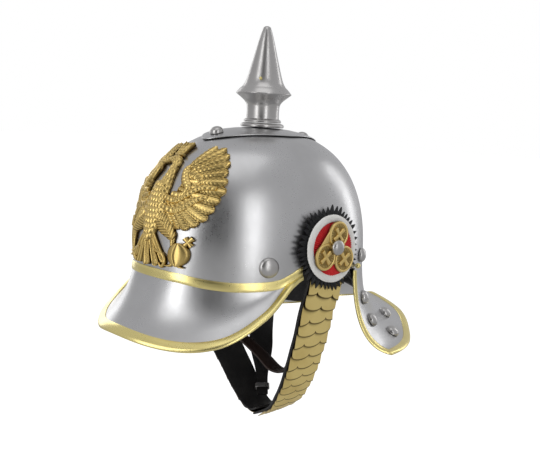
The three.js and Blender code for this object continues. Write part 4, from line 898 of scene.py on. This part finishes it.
woven, cloth_in, cloth_out = finish_group("woven_ribbon", [
    ("Cloth", "NodeSocketColor", (0.5, 0.5, 0.5, 1)), ("Shadow", "NodeSocketColor", (0.2, 0.2, 0.2, 1)),
    ("Dullness", "NodeSocketFloat", 0.75), ("Thread", "NodeSocketFloat", 900)])
cloth_place = woven.nodes.new("ShaderNodeTexCoord")
cloth_threads = woven.nodes.new("ShaderNodeTexWave")
cloth_threads.wave_profile = "SIN"
cloth_threads.bands_direction = "Z"
cloth_threads.inputs["Distortion"].default_value = 1.2
woven.links.new(cloth_in.outputs["Thread"], cloth_threads.inputs["Scale"])
woven.links.new(cloth_place.outputs["Object"], cloth_threads.inputs["Vector"])
cloth_fuzz = noise(woven, cloth_place, 1400, 3)
cloth_soil = noise(woven, cloth_place, 60, 4)
cloth_depth = sum_of(woven, cloth_fuzz, 0.6, cloth_threads.outputs["Fac"])
cloth_tone = sum_of(woven, spread(woven, cloth_soil, 0.35, 0.75), 0.5, spread(woven, cloth_fuzz, 0.5, 0.9))
woven.links.new(blend(woven, cloth_tone, cloth_in.outputs["Cloth"], cloth_in.outputs["Shadow"]),
                cloth_out.inputs["Color"])
woven.links.new(sum_of(woven, cloth_fuzz, 0.2, cloth_in.outputs["Dullness"]), cloth_out.inputs["Roughness"])
woven.links.new(cloth_depth, cloth_out.inputs["Height"])

black_ribbon = dressed("black_ribbon", woven, {
    "Cloth": (0.012, 0.013, 0.015, 1), "Shadow": (0.004, 0.004, 0.005, 1), "Dullness": 0.42, "Thread": 1300,
}, bump=0.4, depth=0.00015)
white_braid = dressed("white_braid", woven, {
    "Cloth": (0.97, 0.96, 0.93, 1), "Shadow": (0.80, 0.78, 0.72, 1), "Dullness": 0.7, "Thread": 700,
}, bump=0.5, depth=0.0002)
red_ribbon = dressed("red_ribbon", woven, {
    "Cloth": (0.82, 0.030, 0.035, 1), "Shadow": (0.55, 0.018, 0.022, 1), "Dullness": 0.6, "Thread": 900,
}, bump=0.4, depth=0.00015)


def cockade_ring(side, radii, angles, lift):
    """A polar grid over the side of the skull: radii down the columns and angles from the top to the rear."""
    y = radii * np.sin(angles) - COCKADE_FORWARD
    z = COCKADE_RISE + radii * np.cos(angles)
    return over_side(side, y, z, lift)


PLEATS = 44
for side, word in ((1, "left"), (-1, "right")):
    angles = np.linspace(0, 2 * math.pi, PLEATS * 10, endpoint=False)[:, None]
    phase = (angles * PLEATS / (2 * math.pi)) % 1
    fold = 1 - np.abs(2 * phase - 1)
    unevenness = 1 + 0.03 * np.sin(angles * 7.0) + 0.02 * np.sin(angles * 19.0 + 1.0)
    shares = np.linspace(0, 1, 16)[None, :]
    radii = ROSETTE_HOLE + (ROSETTE_RADIUS * unevenness * (0.83 + 0.17 * fold**0.85) - ROSETTE_HOLE) * shares
    lean = angles + 0.035 * shares * np.sin(angles * 5.0)
    depth = np.clip((radii - 26) / 9, 0, 1)
    lift = ROSETTE_LIFT + 0.9 + (3.2 * fold - 0.9) * depth * (1 - 0.55 * shares**6)
    outer = cockade_ring(side, radii, lean, lift)
    inner = cockade_ring(side, radii, lean, np.maximum(lift - 1.1 - 0.4 * (1 - shares), 4.6))
    rosette = mesh_piece(f"black_rosette_{word}", *two_sided(outer, inner, True), black_ribbon, 25)
    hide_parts(f"rosette_{word}")

    angles = np.linspace(0, 2 * math.pi, 480, endpoint=False)
    round_section = np.linspace(0, 2 * math.pi, 18, endpoint=False)[None, :]
    nicks = 1 + 0.05 * np.clip(np.sin(angles * 61), 0, 1)[:, None] + 0.02 * np.sin(angles * 13)[:, None]
    radii = BRAID_RADIUS + BRAID_HALF_WIDTH * np.cos(round_section) * nicks
    lift = ROSETTE_LIFT + 3.4 + 1.25 * np.sin(round_section) * nicks
    braid_points = cockade_ring(side, radii, angles[:, None] + 0 * radii, lift)
    braid_faces = grid_faces(480, 18, 0, True, True)
    braid = mesh_piece(f"white_braid_{word}", braid_points.reshape(-1, 3), braid_faces, white_braid)
    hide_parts(f"white_ring_{word}")

    angles = np.linspace(0, 2 * math.pi, 560, endpoint=False)[:, None]
    shares = np.linspace(0, 1, 12)[None, :]
    radii = RED_HOLE + RED_WIDTH * shares + 0 * angles
    fold = np.abs(np.sin(angles * RED_PLEATS + 0.6 * np.sin(shares * 3)))
    lift = ROSETTE_LIFT + 2.4 + 1.5 * fold * (0.3 + 0.7 * shares)
    outer = cockade_ring(side, radii, angles + 0 * radii, lift)
    inner = cockade_ring(side, radii, angles + 0 * radii, 0 * lift + ROSETTE_LIFT + 2.05)
    red_field = mesh_piece(f"red_field_{word}_pleats", *two_sided(outer, inner, True), red_ribbon)
    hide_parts(f"red_field_{word}")

# Trefoil boss: three stamped gilt discs on a web, each with a plain rim, a ticked ground and a raised cross,
# held by a round steel knob at the middle. Shade is painted into each disc's ground and along the cross arms'
# edges.
boss_gilt = dressed("boss_gilt", polished, {
    "Metal": (0.88, 0.66, 0.26, 1), "Tarnish": (0.62, 0.43, 0.13, 1), "Gloss": 0.25, "Grain": 0.1,
    "Cloud": 0.35,
}, metallic=1.0, bump=0.3, depth=0.00004, painted_shade=(0.17, 0.10, 0.025, 1), painted_shade_end=0.5)
BOSS_LIFT = 107.3
BOSS_TURN = math.radians(8)
KNOB_LIFT = 2.7
LEAF_RADIUS = 12.2
LEAF_REACH = 14.0
boss_parts, boss_faces, boss_painted_light_share = [], [], []


def add_boss_part(grid, painted_lit, closed_rows):
    """A closed part of the boss from (across, up, height) points over its flat back."""
    start = sum(len(part) for part in boss_parts)
    back = grid.copy()
    back[..., 2] = 0.05
    points, part_faces = two_sided(grid, back, closed_rows)
    boss_parts.append(points)
    boss_faces.extend([tuple(v + start for v in face) for face in part_faces])
    boss_painted_light_share.append(np.concatenate([painted_lit.ravel(), np.zeros(painted_lit.size)]))


around = np.linspace(0, 2 * math.pi, 144, endpoint=False)[:, None]
leaf_r = np.array([0.02, 0.3, 0.5, 0.58, 0.66, 0.72, 0.76, 0.79, 0.82, 0.86, 0.9, 0.94, 0.97, 0.99,
                   1.0])[None, :]
leaf_rim = np.exp(-(((leaf_r - 0.885) / 0.075) ** 4))
leaf_ticks = (leaf_r > 0.6) * (leaf_r < 0.77) * 0.2 * (np.sin(around * 24) > 0)
leaf_height = 1.55 + 1.0 * leaf_rim + leaf_ticks - 0.7 * np.clip((leaf_r - 0.965) / 0.035, 0, 1)
# Painted shade: the ground of each disc is shaded, the rim is unshaded and the ticks partly so.
leaf_painted_lit = np.clip(0.12 + leaf_rim + 0.9 * leaf_ticks, 0, 1)
for leaf in range(3):
    turn = leaf * 2 * math.pi / 3 + BOSS_TURN
    centre = LEAF_REACH * np.array((math.sin(turn), math.cos(turn)))
    add_boss_part(np.stack([centre[0] + LEAF_RADIUS * leaf_r * np.sin(around),
                            centre[1] + LEAF_RADIUS * leaf_r * np.cos(around), leaf_height], axis=-1),
                  leaf_painted_lit, True)
    for arm in range(4):
        angle = math.pi / 4 + arm * math.pi / 2 + 0.15
        way = np.array((math.sin(angle), math.cos(angle)))
        for fork in (-1, 1):
            s = np.linspace(0, 1, 12)[:, None]
            a = np.linspace(-1, 1, 7)[None, :]
            bend = fork * 1.9 * np.clip(s - 0.45, 0, 1) ** 1.2
            half = (1.75 - 0.35 * s) * np.sqrt(np.clip(1 - (np.maximum(s - 0.75, 0) / 0.25) ** 2, 0.01, 1))
            run = 0.62 * LEAF_RADIUS * s
            x = centre[0] + way[0] * run + way[1] * (bend + half * a)
            y = centre[1] + way[1] * run - way[0] * (bend + half * a)
            top = 1.9 + 1.1 * (1 - np.abs(a) ** 4) + 0 * s
            # Painted shade towards the edges of each cross arm.
            add_boss_part(np.stack([x, y, top], axis=-1), 0.45 + 0.55 * (1 - np.abs(a) ** 2) + 0 * s, False)
web_r = np.array([0.02, 0.4, 0.8, 0.96, 1.0])[None, :]
off_flat = (np.degrees(around) - 308 + 180) % 360 - 180
lobes = np.where(np.abs(off_flat) < 40, 18.2 / np.cos(np.radians(off_flat)), 12.5)
web_height = 1.25 - 0.5 * (web_r > 0.97) + 0 * around
add_boss_part(np.stack([lobes * web_r * np.sin(around), lobes * web_r * np.cos(around), web_height], axis=-1),
              0.6 + 0 * web_height, True)
boss_points = np.concatenate(boss_parts)
for side, word in ((1, "left"), (-1, "right")):
    placed = np.stack([side * (BOSS_LIFT + boss_points[:, 2]), boss_points[:, 0] - COCKADE_FORWARD,
                       boss_points[:, 1] + COCKADE_RISE], axis=1)
    boss = mesh_piece(f"gilt_trefoil_{word}", placed, boss_faces, boss_gilt, 40, np.concatenate(boss_painted_light_share))
    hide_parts(f"trefoil_{word}")
    knob_outline = [(0, 0), (5.2, 0), (5.6, 0.7), (6.4, 1.0)] + [
        (7.0 * math.cos(a), 1.6 + 4.6 * math.sin(a)) for a in np.linspace(-0.1, math.pi / 2, 14)]
    knob_seat = np.array((side * (BOSS_LIFT + KNOB_LIFT), -COCKADE_FORWARD - 1.5, COCKADE_RISE + 3.0))
    knob = swept(f"steel_knob_{word}", lathe(knob_outline, 56, knob_seat, (side, 0, 0)), turned_steel)
    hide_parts(f"boss_knob_{word}")

# Chin scales: thin stamped brass lames with scalloped lower edges, each lying over the next one down,
# sewn on a strap of black leather whose edge shows beside them.
leather, hide_in, hide_out = finish_group("worn_leather", [
    ("Hide", "NodeSocketColor", (0.02, 0.02, 0.02, 1)), ("Rubbed", "NodeSocketColor", (0.1, 0.08, 0.06, 1)),
    ("Shine", "NodeSocketFloat", 0.5), ("Wear", "NodeSocketFloat", 0.3)])
hide_place = leather.nodes.new("ShaderNodeTexCoord")
hide_pores = leather.nodes.new("ShaderNodeTexVoronoi")
hide_pores.inputs["Scale"].default_value = 700
leather.links.new(hide_place.outputs["Object"], hide_pores.inputs["Vector"])
hide_cracks = noise(leather, hide_place, 190, 6)
hide_rub = noise(leather, hide_place, 45, 5)
rubbed = sum_of(leather, spread(leather, hide_rub, 0.48, 0.78), hide_in.outputs["Wear"], 0)
leather.links.new(blend(leather, rubbed, hide_in.outputs["Hide"], hide_in.outputs["Rubbed"]),
                  hide_out.inputs["Color"])
leather.links.new(sum_of(leather, hide_cracks, 0.25, hide_in.outputs["Shine"]), hide_out.inputs["Roughness"])
leather.links.new(sum_of(leather, hide_cracks, 0.8, hide_pores.outputs["Distance"]),
                  hide_out.inputs["Height"])

black_leather = dressed("black_leather", leather, {
    "Hide": (0.012, 0.011, 0.011, 1), "Rubbed": (0.055, 0.05, 0.046, 1), "Shine": 0.38, "Wear": 0.5,
}, bump=0.5, depth=0.00025)
brown_leather = dressed("brown_leather", leather, {
    "Hide": (0.030, 0.012, 0.008, 1), "Rubbed": (0.075, 0.032, 0.019, 1), "Shine": 0.36, "Wear": 0.6,
}, bump=0.5, depth=0.00025)
scale_brass = dressed("scale_brass", polished, {
    "Metal": (0.96, 0.76, 0.30, 1), "Tarnish": (0.62, 0.44, 0.13, 1), "Gloss": 0.24, "Grain": 0.08,
    "Cloud": 0.7,
}, metallic=1.0, bump=0.3, depth=0.00005, painted_shade=(0.035, 0.02, 0.007, 1), painted_shade_end=0.9)

scale_routes = {
    "left": [[100, 0, 32], [101, -1, 8], [100.3, -4, -12], [97, -8, -34], [92, -7, -55], [82, -5, -84],
             [72, -1, -104], [60, 4, -121], [40, 12, -142], [8, 16, -161]],
    "right": [[-100, 0, 32], [-101, 0, 8], [-100.3, 2, -12], [-96, 4, -34], [-88, 12, -64], [-76, 18, -88],
              [-62, 20, -108], [-46, 22, -127], [-24, 20, -146], [-8, 18, -155.5], [4, 17, -157.6],
              [16, 15, -151.9]],
}


RUN_STATIONS = 240
STRAP_BOW = 0.0033
STRAP_END_SHARE = 0.004


def strap_run(route):
    """Even stations along a route: places, the way along, outward from the head and across the strap."""
    points = np.array(route, dtype=float)
    points = np.vstack([2 * points[0] - points[1], points, 2 * points[-1] - points[-2]])
    places = []
    for p0, p1, p2, p3 in zip(points, points[1:], points[2:], points[3:]):
        knots = np.cumsum([0] + [math.sqrt(np.linalg.norm(b - a)) for a, b in ((p0, p1), (p1, p2), (p2, p3))])
        t0, t1, t2, t3 = knots
        for t in np.linspace(t1, t2, 60, endpoint=False):
            a1 = (t1 - t) / (t1 - t0) * p0 + (t - t0) / (t1 - t0) * p1
            a2 = (t2 - t) / (t2 - t1) * p1 + (t - t1) / (t2 - t1) * p2
            a3 = (t3 - t) / (t3 - t2) * p2 + (t - t2) / (t3 - t2) * p3
            b1 = (t2 - t) / (t2 - t0) * a1 + (t - t0) / (t2 - t0) * a2
            b2 = (t3 - t) / (t3 - t1) * a2 + (t - t1) / (t3 - t1) * a3
            places.append((t2 - t) / (t2 - t1) * b1 + (t - t1) / (t2 - t1) * b2)
    places = np.array(places + [points[-2]])
    run = np.concatenate([[0], np.cumsum(np.linalg.norm(np.diff(places, axis=0), axis=1))])
    even = np.linspace(0, run[-1], RUN_STATIONS)
    centre = np.stack([np.interp(even, run, places[:, k]) for k in range(3)], axis=1)
    along = np.gradient(centre, axis=0)
    along /= np.linalg.norm(along, axis=1, keepdims=True)
    reach = np.where(centre[:, 1] < 0, SKULL_FRONT_REACH, SKULL_REAR_REACH)
    outward = np.stack([centre[:, 0] / SKULL_HALF_WIDTH**2, centre[:, 1] / reach**2,
                        (centre[:, 2] + 20) / 90**2], axis=1)
    outward -= (outward * along).sum(axis=1, keepdims=True) * along
    outward /= np.linalg.norm(outward, axis=1, keepdims=True)
    return centre, along, outward, np.cross(along, outward), run[-1]


def at_share(run, s, reach, lift):
    """Places on a strap at shares of its length, at a reach across it and a lift off its face."""
    centre, _, outward, across, _ = run
    stations = np.linspace(0, 1, len(centre))
    read = [np.stack([np.interp(s, stations, field[:, k]) for k in range(3)], axis=-1)
            for field in (centre, across, outward)]
    bowed = lift - STRAP_BOW * reach * reach
    return read[0] + read[1] * reach[..., None] + read[2] * bowed[..., None]


def leather_strap(name, route, width_at, wall, material, stations):
    """A flat strap with rounded edges and rounded ends along its route."""
    run = strap_run(route)
    rings = []
    edge = [(-1, -0.5), (-0.985, -0.12), (-0.94, 0), (-0.6, 0), (-0.2, 0), (0.2, 0), (0.6, 0), (0.94, 0),
            (0.985, -0.12), (1, -0.5), (0.985, -0.88), (0.94, -1), (0.5, -1), (0, -1), (-0.5, -1),
            (-0.94, -1), (-0.985, -0.88)]
    for s in np.linspace(0, 1, stations):
        half = width_at(s) / 2 * math.sqrt(1 - max(0.0, 1 - min(s, 1 - s) / STRAP_END_SHARE) ** 2 * 0.35)
        reach = np.array([share * half for share, _ in edge])
        lift = np.array([deep * wall for _, deep in edge])
        rings.append(at_share(run, np.full(len(edge), s), reach, lift))
    return swept(name, rings, material), run


TAPER_START = 0.45
TAPER = 0.34


def scale_taper(s):
    return 1 - TAPER * np.maximum(s - TAPER_START, 0) / (1 - TAPER_START)


BACKING_WIDTH = 43
SCALE_HALF_WIDTH = 19.5
LAMES = 18
SCALED_SHARE = 0.95
SCALLOP_DEPTH = 4.2
for word, route in scale_routes.items():
    backing, run = leather_strap(f"leather_backing_{word}", route, lambda s: BACKING_WIDTH * scale_taper(s),
                                 2.0, black_leather, 160)
    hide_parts(f"scale_backing_{word}")
    points, faces, painted_light_share = [], [], []
    length = run[4]
    for lame in range(LAMES):
        top = lame / LAMES * SCALED_SHARE
        pitch = SCALED_SHARE / LAMES
        s = np.linspace(0, 1, 26)[:, None]
        a = np.linspace(-1, 1, 45)[None, :]
        scallops = [np.max([np.sqrt(np.clip(1 - ((a - middle) / 0.5) ** 2, 0, 1)) for middle in middles],
                           axis=0)
                    for middles in ((-0.5, 0.5), (-1, 0, 1))]
        scallop, above = scallops[lame % 2], scallops[(lame + 1) % 2]
        low = top + pitch + (0.4 + SCALLOP_DEPTH * scallop) / length
        start = max(top - 1.5 / length, 0)
        share = np.clip(start + (low - start) * s, 0, 1)
        half = SCALE_HALF_WIDTH * scale_taper(share)
        lift = 0.4 + 1.9 * s**1.5 + 0.4 * scallop * s + 0 * a
        outer = at_share(run, share, half * a, lift)
        inner = at_share(run, share, half * a, np.maximum(lift - 0.45, 0.12))
        begin = sum(len(part) for part in points)
        part, part_faces = two_sided(outer, inner)
        points.append(part)
        faces.extend([tuple(v + begin for v in face) for face in part_faces])
        # Painted shadow: darkest just under the edge of the lame above and fading over 1.5 mm, with a painted
        # dark line along the lame's own lower edge.
        below_edge = (share - top) * length - (0.4 + SCALLOP_DEPTH * above) * (lame > 0)
        shade_under = np.exp(-np.maximum(below_edge, 0) / 1.5)
        painted_lit = np.clip(1 - shade_under - 0.85 * (s > 0.95), 0, 1)
        painted_light_share.append(np.concatenate([painted_lit.ravel(), np.zeros(painted_lit.size)]))
    scales = mesh_piece(f"brass_scales_{word}", np.concatenate(points), faces, scale_brass, 40,
                        np.concatenate(painted_light_share))
    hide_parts(f"chin_scales_{word}")

# Chin strap: one plain length of brown leather, cut to one width and left smooth.
# It runs from inside the right temple, under the chin and up to the left ear.
CHIN_STRAP_WIDTH = 18
chin_route = [[-84.2, -47.6, 12], [-83.5, -47, -10], [-66, -42, -44], [-32, -24, -68], [0, -11, -82],
              [25, -7, -94], [45, -6, -103], [61, -5, -100], [75, -6, -78], [85, -8, -50], [90.5, -6, -18],
              [91.2, -2, 14]]
chin_strap, _ = leather_strap("plain_chin_strap", chin_route, lambda s: CHIN_STRAP_WIDTH, 2.2, brown_leather,
                              200)
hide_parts("chin_strap")

# Nape strap: a broad strap of black leather from inside the neck guard, cut down to a tongue at its end.
# A keeper of bent steel goes round the tongue.
NAPE_WIDTH = 26
TONGUE_WIDTH = 11.6
KEEPER_SHARE = 0.94
nape_route = [[-65, 74.5, 8], [-65, 74.5, -24], [-67.5, 75.5, -54], [-66.5, 75, -78], [-59, 68, -103],
              [-34, 48.5, -126], [-2, 22, -147.5]]


def nape_width(s):
    t = min(max((s - 0.6) / 0.3, 0.0), 1.0)
    return NAPE_WIDTH + (TONGUE_WIDTH - NAPE_WIDTH) * t * t * (3 - 2 * t)


nape_strap, nape_run = leather_strap("nape_strap_leather", nape_route, nape_width, 2.0, black_leather, 140)
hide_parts("nape_strap")

keeper_rings = []
keeper_section = [(-3.0, 1.0), (-2.6, 1.5), (2.6, 1.5), (3.0, 1.0), (3.0, 0.5), (2.6, 0.1), (-2.6, 0.1),
                  (-3.0, 0.5)]
for q in np.linspace(0, 2 * math.pi, 48, endpoint=False):
    wide = math.copysign(abs(math.cos(q)) ** 0.45, math.cos(q))
    high = math.copysign(abs(math.sin(q)) ** 0.45, math.sin(q))
    ring = []
    for travel, wall in keeper_section:
        reach = np.array([wide * (6.05 + wall)])
        lift = np.array([high * (1.5 + wall) - 1.0 + STRAP_BOW * reach[0] ** 2])
        ring.append(at_share(nape_run, np.array([KEEPER_SHARE + travel / nape_run[4]]), reach, lift)[0])
    keeper_rings.append(ring)
keeper_rings = np.array(keeper_rings)
keeper = mesh_piece("steel_strap_keeper", keeper_rings.reshape(-1, 3), grid_faces(48, 8, 0, True, True),
                    turned_steel)
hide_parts("strap_keeper")

# Lining: a band of dark leather round the inside of the skull, folded over at its lower edge and
# reaching down behind the wall of the neck guard. One tab of it hangs lower, at the right rear.
LINING_TOP = 40
lining_edge = curve_through([0, 60, 80, 100, EAR_DEGREES, 135, 150, 180],
                            [0, 0, 3.6, 1.8, -9, -25.5, -30, -30])
TAB_TURN = 155
TAB_DROP = 33
lining_rings = []
for turn in np.linspace(-math.pi, math.pi, 180, endpoint=False):
    low = lining_edge(abs(math.degrees(turn)))
    if turn < 0:
        low -= TAB_DROP * math.exp(-(((abs(math.degrees(turn)) - TAB_TURN) / 17) ** 4))
    pucker = 0.25 * math.sin(turn * 46)
    ring = []
    for share, deep in [(0, 4.2), (0.3, 4.1), (0.6, 4.1), (0.9, 4.1), (0.97, 4.05), (1.0, 4.3), (1.01, 4.9),
                        (1.0, 5.5), (0.97, 5.75), (0.94, 5.45), (0.6, 5.5), (0.3, 5.5), (0, 5.5)]:
        height = LINING_TOP + (low - LINING_TOP) * share
        ring.append(skull_point(turn, height, deep + pucker * (deep > 5)))
    lining_rings.append(ring)
lining_rings = np.array(lining_rings)
lining = mesh_piece("leather_lining", lining_rings.reshape(-1, 3), grid_faces(180, 13, 0, True, True),
                    black_leather)
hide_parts("lining")
